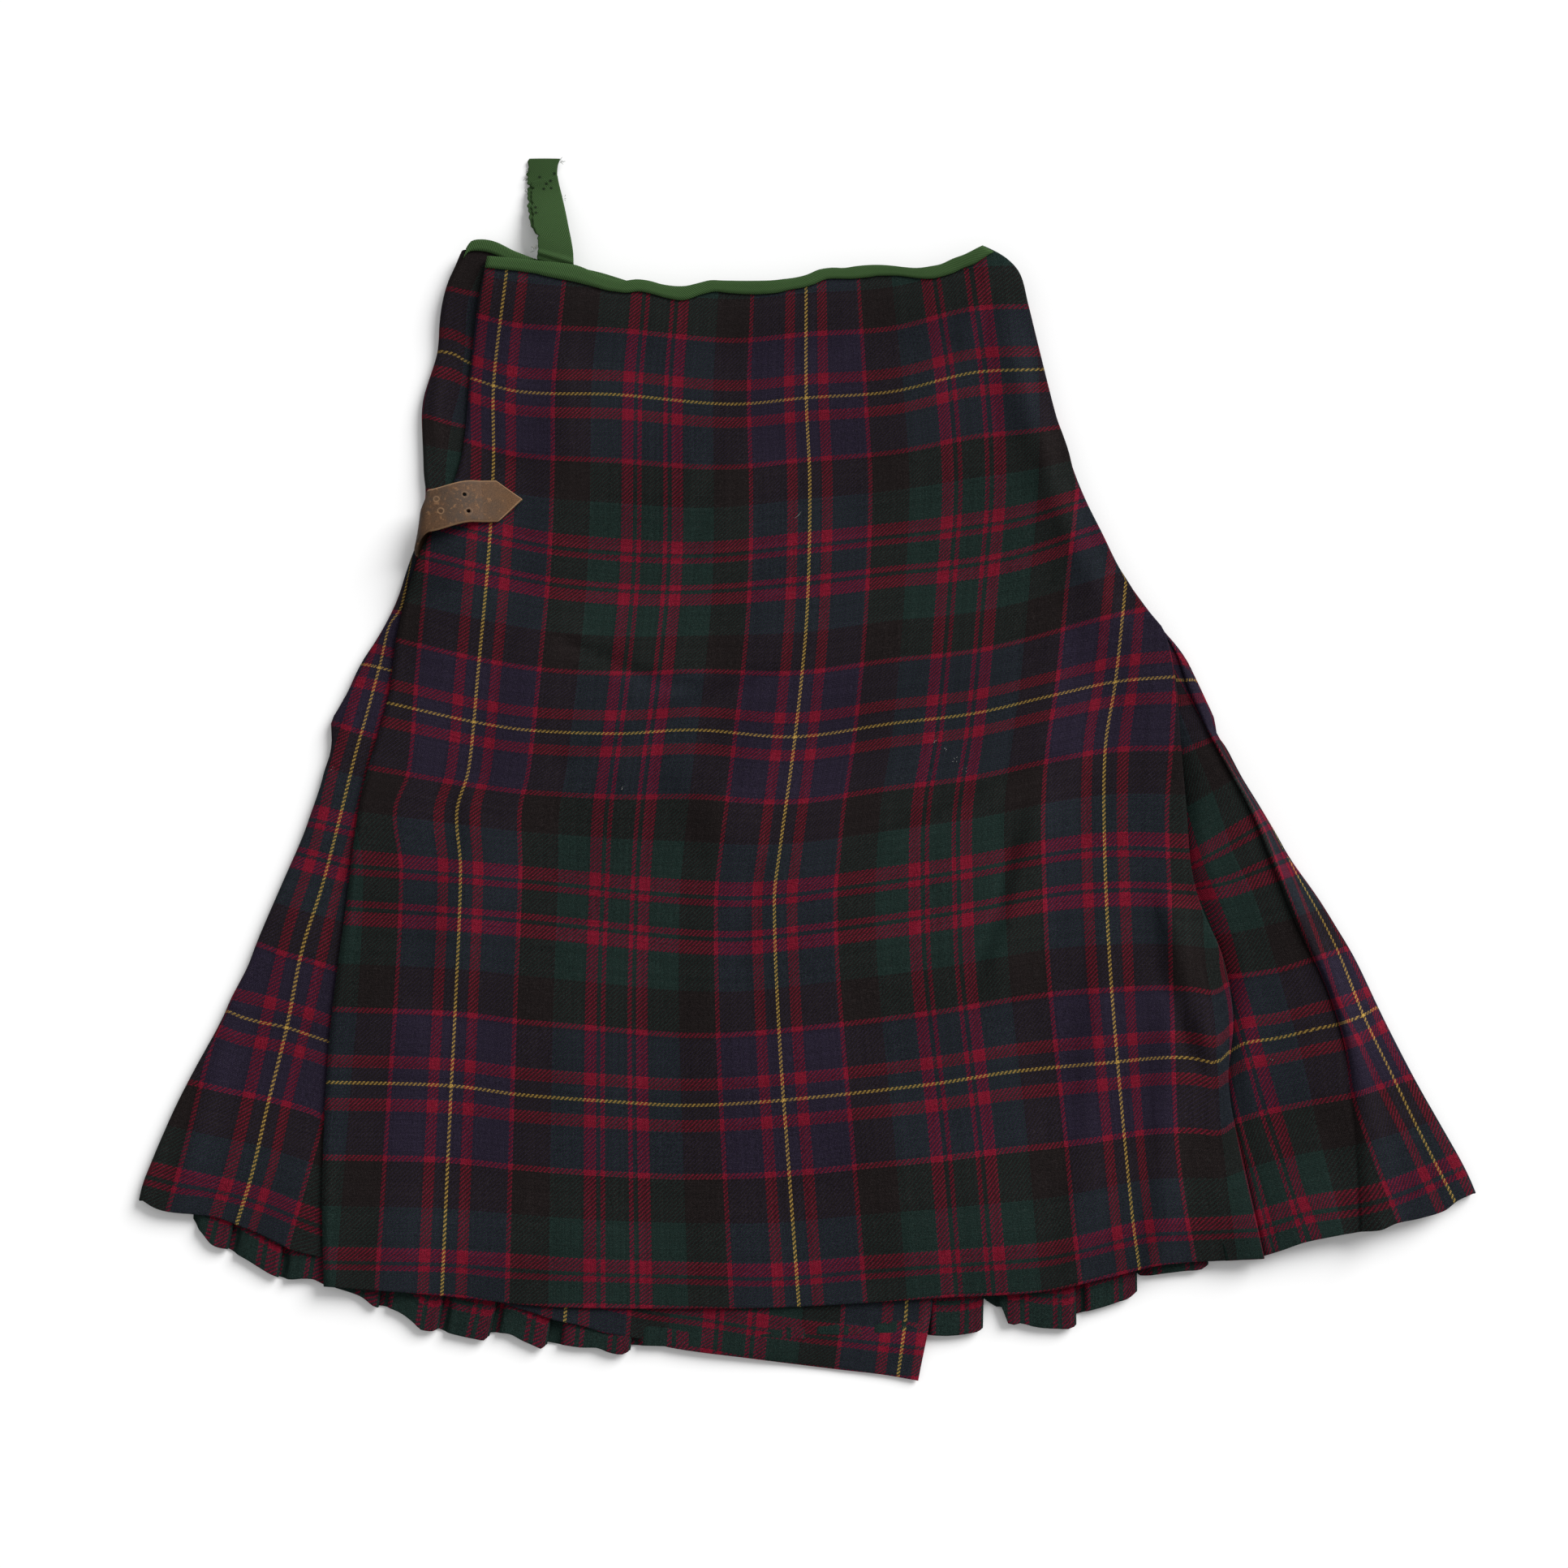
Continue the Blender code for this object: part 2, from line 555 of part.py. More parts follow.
def leather_strap(material, collection):
    """Strap that leaves from under the apron's edge and curls back over it, with four holes."""
    rows, columns = 2, 26
    length, half = STRAP["length"], STRAP["width"] / 2

    def place(column, row):
        s = length * column / columns
        w = half * (2 * row / rows - 1)
        reach = length - STRAP["point"] * abs(w) / half
        if s > length - STRAP["point"] * 1.6:
            start = length - STRAP["point"] * 1.6
            s = start + (s - start) * (reach - start) / (length - start)
        return strap_point(s, w)

    strap = add_sheet("leather_strap", columns, rows, place, STRAP["thickness"], material, collection)
    for number, hole in enumerate(STRAP_HOLES):
        bpy.ops.mesh.primitive_cylinder_add(
            vertices=10, radius=STRAP["hole"] / 2 * MM, depth=STRAP["punch_depth"] * MM,
            location=(hole.x * MM, hole.y * MM, STRAP["punch_z"] * MM))
        punch = bpy.context.active_object
        punch.name = f"punch_{number + 1}"
        punch.hide_render = True
        punch.display_type = "WIRE"
        for other in punch.users_collection:
            other.objects.unlink(punch)
        bpy.data.collections["cutters"].objects.link(punch)
        cut = strap.modifiers.new(f"hole_{number + 1}", "BOOLEAN")
        cut.operation = "DIFFERENCE"
        cut.object = punch


def build():
    for old in list(bpy.data.objects):
        bpy.data.objects.remove(old, do_unlink=True)
    collection = bpy.data.collections.new("kilt")
    cutters = bpy.data.collections.new("cutters")
    bpy.context.scene.collection.children.link(collection)
    bpy.context.scene.collection.children.link(cutters)
    wool, tape, leather = (new_material(finish) for finish in (WOOL, BINDING, LEATHER))

    pleated_back(wool, tape, collection)
    under_apron(wool, tape, collection)
    side_panel(wool, collection)
    over_apron(wool, tape, collection)
    hanging_loop(tape, collection)
    leather_strap(leather, collection)


build()
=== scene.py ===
import math
import random
from bisect import bisect_left
from collections import namedtuple

import bmesh
import bpy
from mathutils import Matrix, Vector, noise


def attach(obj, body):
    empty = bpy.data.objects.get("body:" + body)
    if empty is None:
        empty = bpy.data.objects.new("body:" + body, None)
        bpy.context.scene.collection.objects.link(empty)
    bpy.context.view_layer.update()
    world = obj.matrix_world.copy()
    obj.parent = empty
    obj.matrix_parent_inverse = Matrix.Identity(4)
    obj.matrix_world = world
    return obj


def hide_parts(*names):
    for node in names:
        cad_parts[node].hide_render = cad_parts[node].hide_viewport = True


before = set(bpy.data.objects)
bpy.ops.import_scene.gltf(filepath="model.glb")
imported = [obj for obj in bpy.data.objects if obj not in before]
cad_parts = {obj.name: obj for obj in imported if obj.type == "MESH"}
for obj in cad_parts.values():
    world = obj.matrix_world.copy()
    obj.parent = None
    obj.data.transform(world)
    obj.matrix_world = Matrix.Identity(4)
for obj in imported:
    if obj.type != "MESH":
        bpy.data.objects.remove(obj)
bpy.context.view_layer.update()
print("frame loaded")

mm = 0.001  # all below is in millimetres until it is scaled by this
clothWall, tapeWall, tapeClear, seamGap = 1.2, 0.8, 0.3, 0.4
layerStep = clothWall + seamGap
tapeStep = tapeWall + tapeClear
waistY, sideRoll = 300.0, 3.0  # a drop is measured down from waistY
backLevels = [clothWall / 2 + layerStep * level for level in range(3)]
lowerLevel = backLevels[2] + layerStep
liftStart, liftRun = 62.0, 48.0
hemDrop = 563.0
overPlane, underPlane = 8, 6  # the levels at which the upper and the lower cloth's lines are charted
turnSteps, backSteps = 8, 6  # faces round a turned edge, and along the cloth turned back under it
turnColumns = turnSteps + backSteps
wrapReach = 28.0  # how far each side comes round underneath

outlineRow = namedtuple("outlineRow", "drop x")
leftSide = [outlineRow(*row) for row in (
    (-4, -209.5), (9, -214), (19, -218), (35, -221.3), (47, -222.5), (60, -223), (71, -225.3), (87, -229.8),
    (97, -231.6), (110, -231.2), (126, -230.1), (140, -229.2), (150, -227.9), (170, -229.3), (180, -231.6),
    (188, -234), (198, -237.3), (218, -242.9), (238, -252), (257, -263.1), (277, -271.5), (284, -275.5),
    (291, -278.8), (296, -279.9), (301, -278.3), (306, -276.9), (310, -278.8), (317, -281), (330, -284),
    (346, -288.8), (360, -293.2), (387, -303.8), (420, -316.5), (439, -323), (448, -328), (467, -335.7),
    (493, -348.8), (513, -358.2), (531, -365.5), (549, -372.2), (563, -377))]
rightSide = [outlineRow(*row) for row in (
    (-4, 110), (3, 121), (13, 131), (33, 135), (62, 141), (105, 150), (140, 160), (170, 172), (197, 185),
    (238, 212.5), (250, 222), (265, 229.2), (280, 235.5), (288, 239), (299, 240.7), (307, 245.8), (315, 249.6),
    (326, 255), (339, 262.5), (356, 271.8), (373, 280.7), (395, 295.2), (412, 305), (430, 314.8), (463, 329),
    (486, 339.5), (504, 348.2), (522, 357.6), (549, 371.5), (563, 377))]
overWaist = [(-194, 297), (-148, 292.2), (-139, 290.6), (-125, 284.4), (-112, 280.8), (-102.6, 281.7), (-95, 280.7),
             (-88, 278.6), (-80.4, 277.4), (-73, 277.4), (-65.6, 279.2), (-58, 281.1), (-51, 280.9), (-36, 280.7),
             (-21, 281), (-14, 281.8), (-6.5, 282.8), (1, 284.8), (8, 288), (16, 289.2), (23, 289), (30.6, 290.2),
             (38, 290.9), (45, 291), (53, 290.4), (60, 289.5), (67.6, 289), (75, 290), (82.4, 291.6),
             (90, 295.3), (97, 298), (108, 304)]
overHem = [(-270, -314), (-204, -319), (-143, -325), (-61, -326), (-6, -325), (77, -320), (130, -317),
           (169, -309), (200, -302), (254, -299)]
overLeft = [(-194, 297), (-199, 267), (-202, 227), (-206, 172), (-214, 145), (-230, 108), (-241, 62),
            (-245, 24), (-259, -36), (-265, -96), (-272, -175), (-273, -260), (-270, -314)]
overRight = [(108, 304), (121, 296), (129, 286), (133.4, 267), (139.5, 238), (148.9, 195), (152.8, 183),
             (155.8, 173), (158.2, 162), (165.5, 142), (174.6, 122), (183, 103), (189.3, 92), (195.2, 82),
             (202.6, 72), (209.6, 62), (215, 35), (217, -8), (219, -45), (220.2, -75), (223.2, -93), (227.4, -106),
             (236, -127), (240.5, -150), (241.5, -168), (239.5, -183), (237.5, -196), (238.5, -215), (243, -240),
             (248.5, -269), (254, -299)]
underWaist = [(-208.5, 303.5), (-204.5, 308.4), (-193, 308.0), (-179, 301.2), (-162, 294.9), (-129, 288), (-95, 278),
              (-50, 275), (0, 278), (40, 283)]
underHem = [(-374.5, -267), (-369, -270.4), (-363, -272.6), (-353.6, -273.9), (-344.5, -274.6), (-332, -276.4),
            (-321.4, -280.2), (-307.5, -285.6), (-296.3, -290.9), (-288.9, -294.5), (-273, -298), (-200, -315),
            (-154.5, -328), (-142.7, -332.1), (-124.1, -336), (-114.5, -339.1), (-105, -340.8), (-91, -343),
            (-79.3, -346.6), (-62, -349.4), (-40, -352), (16, -358.8), (42.4, -361.8), (61, -365)]
underRight = [(40, 283), (45, 200), (56, 0), (67, -200), (70, -315), (61, -365)]

eye = Vector((-13.4, -259.7, 1253.2))  # the outlines and lines are charted as seen from here


def seenFrom(spot, level):  # where a point appears on the plane at that level
    k = (eye.z - level) / (eye.z - spot[2])
    return eye.x + (spot[0] - eye.x) * k, eye.y + (spot[1] - eye.y) * k


def settled(x, y, z, level):  # the point at height z that appears at x, y on the plane at that level
    k = (eye.z - z) / (eye.z - level)
    return (eye.x + (x - eye.x) * k, eye.y + (y - eye.y) * k, z)


def ease(t):
    t = min(max(t, 0.0), 1.0)
    return t * t * (3 - 2 * t)


def onLine(keys, values, value, clamp=True):  # a smooth line through the rows, straight beyond its ends
    last = len(keys) - 1

    def slope(n):
        low, high = max(n - 1, 0), min(n + 1, last)
        return (values[high] - values[low]) / (keys[high] - keys[low])

    if value < keys[0] or value > keys[last]:
        end = 0 if value < keys[0] else last
        return values[end] + (0 if clamp else slope(end) * (value - keys[end]))
    i = min(max(bisect_left(keys, value) - 1, 0), last - 1)
    span = keys[i + 1] - keys[i]
    t = (value - keys[i]) / span
    return (values[i] * (1 + 2 * t) * (1 - t) ** 2 + slope(i) * span * t * (1 - t) ** 2
            + values[i + 1] * t * t * (3 - 2 * t) + slope(i + 1) * span * t * t * (t - 1))


def lineOf(rows, key, column, clamp=True):
    ordered = sorted(rows, key=lambda row: row[key])
    keys, values = [row[key] for row in ordered], [row[column] for row in ordered]
    return lambda value: onLine(keys, values, value, clamp)


def curveThrough(points):  # by the share of its length
    marks = [0.0]
    for a, b in zip(points, points[1:]):
        marks.append(marks[-1] + math.hypot(b[0] - a[0], b[1] - a[1]))
    xs, ys = [p[0] for p in points], [p[1] for p in points]

    def at(share):
        mark = min(max(share, 0.0), 1.0) * marks[-1]
        return Vector((onLine(marks, xs, mark), onLine(marks, ys, mark)))

    return at


def panelPatch(top, bottom, left, right):  # u from left to right, v from waist to hem
    corners = [top(0), top(1), bottom(0), bottom(1)]

    def at(u, v):
        across = top(u) * (1 - v) + bottom(u) * v
        down = left(v) * (1 - u) + right(v) * u
        flat = (corners[0] * (1 - u) + corners[1] * u) * (1 - v) + (
            corners[2] * (1 - u) + corners[3] * u) * v
        return across + down - flat

    return at


sideAt = {-1: lineOf(leftSide, 0, 1), 1: lineOf(rightSide, 0, 1)}
overWaistAt = lineOf(overWaist, 0, 1)
underWaistAt = lineOf(underWaist, 0, 1)


def sideEdge(side, firstDrop, lastDrop, inset, rows=60):
    drops = [firstDrop + (lastDrop - firstDrop) * n / rows for n in range(rows + 1)]
    return [(sideAt[side](d) + inset, waistY - d) for d in drops]


foldRow = namedtuple("foldRow", "x1 y1 x2 y2 half height lean")
overFolds = [foldRow(*row) for row in (  # soft ridges; lean above 0 makes the side that faces left steeper
    (112, 270, 178, 60, 24, 3.0, 0), (150, 60, 130, -60, 30, 2.4, 0.2), (214, -90, 196, -300, 16, 3.0, 0.3),
    (170, -120, 150, -300, 16, 2.2, 0.2), (-20, 40, -60, -180, 34, 2.6, 0), (-150, 60, -200, -120, 28, 2.6, 0),
    (-150, 262, -140, 170, 20, 1.6, 0), (-220, -180, -230, -300, 24, 2.0, 0), (40, -220, 60, -310, 30, 1.8, 0),
    (-70, 250, -60, 120, 30, 1.6, 0), (110, 281, 90, 250, 9, 2.2, 0.7), (141, 190, 144, 162, 7, 1.2, 0.7),
    (136, -48, 108, -140, 22, 3.2, 0.5), (206, -100, 232, -186, 14, 2.4, 0.5), (-146, 64, -128, 56, 7, 1.0, 0.6),
    (-199, -30, -194, -60, 12, 1.4, 0.3), (110, 288, 97, 240, 9, 1.8, 0), (-72, -18, -46, -62, 26, 2.4, 0),
    (-143, 57, -96, 35, 7, -1.9, 0), (-98, 35, -66, 28, 7, -1.7, 0),  # from here on, creases that sink in
    (-15, 37, -88, 8, 11, -2.6, 0), (-82, 6, -142, -22, 14, -2.4, 0), (58, -57, 98, -38, 9, -2.6, 0),
    (98, -38, 144, -16, 11, -2.4, 0), (-6, -104, 52, -58, 12, -2.4, 0), (119, -66, 112, -96, 6, -2.2, 0),
    (112, -100, 99, -138, 7, -1.8, 0), (-55, 172, -70, 100, 12, -1.6, 0), (-30, -80, -40, -137, 11, -1.6, 0),
    (203, -138, 220, -192, 9, -2.6, 0), (222, -163, 236, -205, 8, 2.6, 0))]
underFolds = [foldRow(*row) for row in (
    (-330, -150, -350, -250, 14, 3.0, 0), (-270, 10, -306, -90, 9, 1.8, 0.2), (-224, 250, -223, 180, 6, 1.2, 0))]


def foldHeight(folds, x, y):
    total = 0.0
    for fold in folds:
        alongX, alongY = fold.x2 - fold.x1, fold.y2 - fold.y1
        length = math.hypot(alongX, alongY)
        offX, offY = x - fold.x1, y - fold.y1
        t = (offX * alongX + offY * alongY) / length ** 2
        if not -0.25 < t < 1.25:
            continue
        ends = ease((t + 0.25) / 0.35) * ease((1.25 - t) / 0.35)
        across = (offX * alongY - offY * alongX) / length
        leftward = -across if alongY > 0 else across
        half = fold.half * (1 - fold.lean * 0.7 if leftward > 0 else 1 + fold.lean * 0.3)
        total += fold.height * ends * (1 - ease(abs(across) / half))
    return total


def unevenness(x, y, seed, coarse, fine):  # cloth never lies quite flat
    broad = noise.noise(Vector((x / 70, y / 110, seed)))
    small = noise.noise(Vector((x / 16, y / 24, seed + 5)))
    return coarse * (broad + 0.5) + fine * small


def waistLift(x, y):
    return ease((y - (overWaistAt(x) - liftStart)) / liftRun)


def lowerHeight(x, y):
    return lowerLevel + 3 * tapeStep * waistLift(x, y)


def upperHeight(x, y):
    return lowerHeight(x, y) + layerStep + 2 * tapeStep * waistLift(x, y)


def halfTurn(centreX, centreZ, radius, steps, direction=1):
    turns = [math.pi * n / steps for n in range(1, steps)]
    return [(centreX + direction * radius * math.sin(a), centreZ + radius * math.cos(a)) for a in turns]


def turnedEdge(bottom, radius, reach, direction=1):  # round an edge, then flat under the cloth
    return halfTurn(0, bottom + radius, radius, turnSteps, direction) + [
        (-direction * reach * n / backSteps, bottom) for n in range(backSteps + 1)]


def halfWall(points, column, row):  # from the middle of a sheet to its face, mitred at a corner
    line = points[row]
    down = points[min(row + 1, len(points) - 1)][column] - points[max(row - 1, 0)][column]
    faces = [down.cross(line[b] - line[a]).normalized()
             for a, b in ((column - 1, column), (column, column + 1)) if a >= 0 and b < len(line)]
    if len(faces) == 1:
        return faces[0]
    return (faces[0] + faces[1]) / max(1 + faces[0].dot(faces[1]), 0.7)


def rimShare(n, last):  # the wall thins over the outermost rows, so the rim reads as rounded
    return (0.5, 0.86, 1.0)[min(n, last - n, 2)]


def newPiece(name, bm, material, smooth=True):
    for face in bm.faces:
        face.smooth = smooth
    mesh = bpy.data.meshes.new(name)
    bm.to_mesh(mesh)
    bm.free()
    mesh.materials.append(material)
    piece = bpy.data.objects.new(name, mesh)
    bpy.context.scene.collection.objects.link(piece)
    print(name, len(mesh.polygons), "faces")
    return piece


def makeSheet(name, columns, rows, place, wall, material, pattern, marks=None):
    points = [[Vector(place(column, row)) for column in range(columns + 1)] for row in range(rows + 1)]
    bm = bmesh.new()  # a grid extruded into a front, a back and a rim
    weave, layer = bm.loops.layers.uv.new("weave"), bm.verts.layers.float.new("marks")
    bmesh.ops.create_grid(bm, x_segments=columns, y_segments=rows, size=0.5)
    copied = bmesh.ops.extrude_face_region(bm, geom=bm.faces[:], use_keep_orig=True)["geom"]
    front = {item for item in copied if isinstance(item, bmesh.types.BMVert)}
    spots = {}
    for vert in bm.verts:
        column, row = round((vert.co.x + 0.5) * columns), round((0.5 - vert.co.y) * rows)
        spots[vert] = (column, row)
        side = 1 if vert in front else -1
        half = side * wall / 2 * rimShare(row, rows)
        vert.co = (points[row][column] + halfWall(points, column, row) * half) * mm
    bmesh.ops.recalc_face_normals(bm, faces=bm.faces[:])
    known = {spot: pattern(*spot) for spot in set(spots.values())}
    for face in bm.faces:
        for loop in face.loops:
            loop[weave].uv = known[spots[loop.vert]]
    for vert, (column, row) in spots.items():
        vert[layer] = marks(column, row, points[row][column]) if marks else 0.0
    return newPiece(name, bm, material)


def newGroup(name, inputs, outputs):
    group = bpy.data.node_groups.new(name, "ShaderNodeTree")
    for label, kind, value in inputs:
        socket = group.interface.new_socket(label, in_out="INPUT", socket_type=kind)
        if value is not None:
            socket.default_value = value
    for label, kind in outputs:
        group.interface.new_socket(label, in_out="OUTPUT", socket_type=kind)
    return group, group.nodes.new("NodeGroupInput"), group.nodes.new("NodeGroupOutput")


def wire(tree, source, target):
    if isinstance(source, (int, float, tuple)):
        target.default_value = source
    else:
        tree.links.new(source, target)


def calc(tree, operation, *values):
    node = tree.nodes.new("ShaderNodeMath")
    node.operation = operation
    for value, socket in zip(values, node.inputs):
        wire(tree, value, socket)
    return node.outputs[0]


def blendColour(tree, share, first, second, mode="MIX"):
    node = tree.nodes.new("ShaderNodeMix")
    node.data_type, node.blend_type = "RGBA", mode
    wire(tree, share, node.inputs[0])
    wire(tree, first, node.inputs[6])
    wire(tree, second, node.inputs[7])
    return node.outputs[2]


def noiseOf(tree, vector, scale, detail=3.0):
    node = tree.nodes.new("ShaderNodeTexNoise")
    node.inputs["Scale"].default_value, node.inputs["Detail"].default_value = scale, detail
    tree.links.new(vector, node.inputs["Vector"])
    return node.outputs["Fac"]


def spanOf(tree, value, low, high, toLow=0.0, toHigh=1.0):
    node = tree.nodes.new("ShaderNodeMapRange")
    wire(tree, value, node.inputs[0])
    for socket, number in zip(node.inputs[1:5], (low, high, toLow, toHigh)):
        socket.default_value = number
    return node.outputs[0]


def axesOf(tree, vector):
    node = tree.nodes.new("ShaderNodeSeparateXYZ")
    tree.links.new(vector, node.inputs[0])
    return node.outputs


def coordsOf(tree):
    return tree.nodes.new("ShaderNodeTexCoord").outputs["Object"]


def readUv(tree):
    node = tree.nodes.new("ShaderNodeUVMap")
    node.uv_map = "weave"
    return node.outputs[0]


def readMarks(tree):
    node = tree.nodes.new("ShaderNodeAttribute")
    node.attribute_name = "marks"
    return node.outputs["Fac"]


def placeGroup(tree, group, **values):
    node = tree.nodes.new("ShaderNodeGroup")
    node.node_tree = group
    for label, value in values.items():
        wire(tree, value, node.inputs[label])
    return node


sett = {  # from the yellow line to the middle of the green, in shares of half a repeat
    "ends": 152.0, "picks": 176.0,
    "yarns": {"yellow": (0.475, 0.296, 0.068, 1), "navy": (0.0180, 0.0135, 0.0265, 1),
              "red": (0.168, 0.0068, 0.0200, 1), "black": (0.0128, 0.0094, 0.0093, 1),
              "green": (0.0115, 0.0235, 0.0200, 1)},
    # the same yellow yarn, darker where it runs across as weft: painted shade
    "shadedWeftYellow": (0.35, 0.217, 0.048, 1),
    "stripes": [("yellow", 0.0), ("navy", 0.0075), ("red", 0.0740), ("navy", 0.1400), ("red", 0.3520),
                ("black", 0.3810), ("green", 0.6040), ("red", 0.8020), ("green", 0.8770),
                ("red", 0.9000), ("green", 0.9300)],
    "dark": 0.42, "bright": 1.22,  # painted shade in the gaps between yarns, and painted highlight on top of them
    "uneven": (0.82, 1.18), "dip": 0.3,  # yarns' shades, and their height at the ends of a float
    "show": 0.04, "cover": 0.36,  # how far the yarn below shows, and how far dark fibre covers a bright yarn
}


def makeTartanGroup():
    group, entry, result = newGroup(
        "tartanTwill",
        [("Setts", "NodeSocketVector", None), ("Ends", "NodeSocketFloat", 100.0),
         ("Picks", "NodeSocketFloat", 100.0)],
        [("Colour", "NodeSocketColor"), ("Height", "NodeSocketFloat")])
    setts = axesOf(group, entry.outputs["Setts"])
    colours, counts, parts = [], [], []
    for axis, label in ((0, "Ends"), (1, "Picks")):
        place = calc(group, "MULTIPLY", setts[axis], entry.outputs[label])
        shifted = calc(group, "ADD", place, 0.5)  # a yarn lies centred on each mirror line
        count = calc(group, "FLOOR", shifted)
        middle = calc(group, "DIVIDE", count, entry.outputs[label])
        folded = calc(group, "PINGPONG", middle, 1.0)
        ramp = group.nodes.new("ShaderNodeValToRGB")
        ramp.color_ramp.interpolation = "CONSTANT"
        group.links.new(folded, ramp.inputs[0])
        stops = ramp.color_ramp.elements
        stops.remove(stops[1])
        # the weft's yellow is drawn with painted shade
        stops[0].color = sett["shadedWeftYellow"] if axis else sett["yarns"]["yellow"]
        for yarn, start in sett["stripes"][1:]:
            stops.new(start).color = sett["yarns"][yarn]
        yarnNoise = group.nodes.new("ShaderNodeTexWhiteNoise")
        yarnNoise.noise_dimensions = "1D"
        group.links.new(count, yarnNoise.inputs["W"])
        shade = spanOf(group, yarnNoise.outputs["Value"], 0, 1, *sett["uneven"])
        colours.append(blendColour(group, 1.0, ramp.outputs["Color"], shade, "MULTIPLY"))
        counts.append(count)
        parts.append(calc(group, "FRACT", shifted))
    step = calc(group, "FLOORED_MODULO", calc(group, "ADD", counts[0], counts[1]), 4.0)  # two over, two under
    warpUp = calc(group, "LESS_THAN", step, 1.5)
    along = (calc(group, "ADD", step, parts[1]), calc(group, "ADD", calc(group, "SUBTRACT", step, 2.0), parts[0]))
    heights = []
    for part, run in zip(parts, along):  # round across the yarn, and dipping at both ends of its float
        dip = calc(group, "SINE", calc(group, "MULTIPLY", run, math.pi / 2))
        across = calc(group, "SINE", calc(group, "MULTIPLY", part, math.pi))
        heights.append(calc(group, "MULTIPLY", across, spanOf(group, dip, 0, 1, sett["dip"], 1)))
    roundness = group.nodes.new("ShaderNodeMix")
    wire(group, warpUp, roundness.inputs[0])
    wire(group, heights[1], roundness.inputs[2])
    wire(group, heights[0], roundness.inputs[3])
    # painted shade in the gaps between yarns and painted highlight on their tops, from each yarn's roundness
    paintedYarnShading = spanOf(group, roundness.outputs[0], 0, 1, sett["dark"], sett["bright"])
    above, below = (blendColour(group, warpUp, colours[n], colours[1 - n]) for n in (1, 0))
    yarns = blendColour(group, sett["show"], above, below)
    yarns = blendColour(group, sett["cover"], yarns, below, "DARKEN")
    group.links.new(blendColour(group, 1.0, yarns, paintedYarnShading, "MULTIPLY"), result.inputs["Colour"])
    group.links.new(roundness.outputs[0], result.inputs["Height"])
    return group


wearLook = {"cloudScale": 11, "fibreScale": 1700, "fuzzScale": 1100, "fuzzFrom": 0.56, "fuzzTo": 0.78,
            "fuzzShare": 0.07, "fuzz": (0.17, 0.155, 0.15, 1)}


def makeWearGroup():  # cloudy fading and loose fibre on any cloth
    group, entry, result = newGroup(
        "clothWear",
        [("Colour", "NodeSocketColor", None), ("Cloud", "NodeSocketFloat", 0.1), ("Fibre", "NodeSocketFloat", 0.1)],
        [("Colour", "NodeSocketColor"), ("Height", "NodeSocketFloat")])
    coords = coordsOf(group)
    cloud = calc(group, "SUBTRACT", noiseOf(group, coords, wearLook["cloudScale"], 4), 0.5)
    fibre = calc(group, "SUBTRACT", noiseOf(group, coords, wearLook["fibreScale"], 2), 0.5)
    shade = calc(group, "ADD", calc(group, "MULTIPLY", cloud, entry.outputs["Cloud"]),
                 calc(group, "MULTIPLY", fibre, entry.outputs["Fibre"]))
    wornAndShaded = blendColour(group, 1.0, entry.outputs["Colour"], calc(group, "ADD", 1.0, shade), "MULTIPLY")
    fuzz = spanOf(group, noiseOf(group, coords, wearLook["fuzzScale"], 3), wearLook["fuzzFrom"],
                  wearLook["fuzzTo"], 0, wearLook["fuzzShare"])
    group.links.new(blendColour(group, fuzz, wornAndShaded, wearLook["fuzz"]), result.inputs["Colour"])
    group.links.new(fibre, result.inputs["Height"])
    return group


tartanGroup, wearGroup = makeTartanGroup(), makeWearGroup()


def newMaterial(name, roughness, sheen, gloss):
    material = bpy.data.materials.new(name)
    material.use_nodes = True
    shader = material.node_tree.nodes["Principled BSDF"]
    shader.inputs["Roughness"].default_value = roughness
    shader.inputs["Specular IOR Level"].default_value = gloss
    shader.inputs["Sheen Weight"].default_value = sheen
    shader.inputs["Sheen Roughness"].default_value = 0.6
    return material, material.node_tree, shader


def addBump(tree, shader, height, strength, distance):
    bump = tree.nodes.new("ShaderNodeBump")
    bump.inputs["Strength"].default_value = strength
    bump.inputs["Distance"].default_value = distance
    tree.links.new(height, bump.inputs["Height"])
    tree.links.new(bump.outputs[0], shader.inputs["Normal"])


def makeWool():
    material, tree, shader = newMaterial("tartanWool", 0.95, 0.0, 0.06)
    twill = placeGroup(tree, tartanGroup, Setts=readUv(tree), Ends=sett["ends"], Picks=sett["picks"])
    wear = placeGroup(tree, wearGroup, Colour=twill.outputs["Colour"], Cloud=0.7, Fibre=2.4)
    tree.links.new(wear.outputs["Colour"], shader.inputs["Base Color"])
    height = calc(tree, "ADD", twill.outputs["Height"], calc(tree, "MULTIPLY", wear.outputs["Height"], 0.8))
    addBump(tree, shader, height, 0.55, 0.00022)
    return material


# the hole colour is painted shade in the moth holes, and a little of it over the whole loop
# the shade colour is painted shade in the grooves between the herringbone's ribs
tapeLook = {"green": (0.046, 0.094, 0.031, 1), "shade": (0.012, 0.031, 0.009, 1), "hole": (0.006, 0.011, 0.005, 1),
            "ribPitch": 1.3, "column": 5.7}


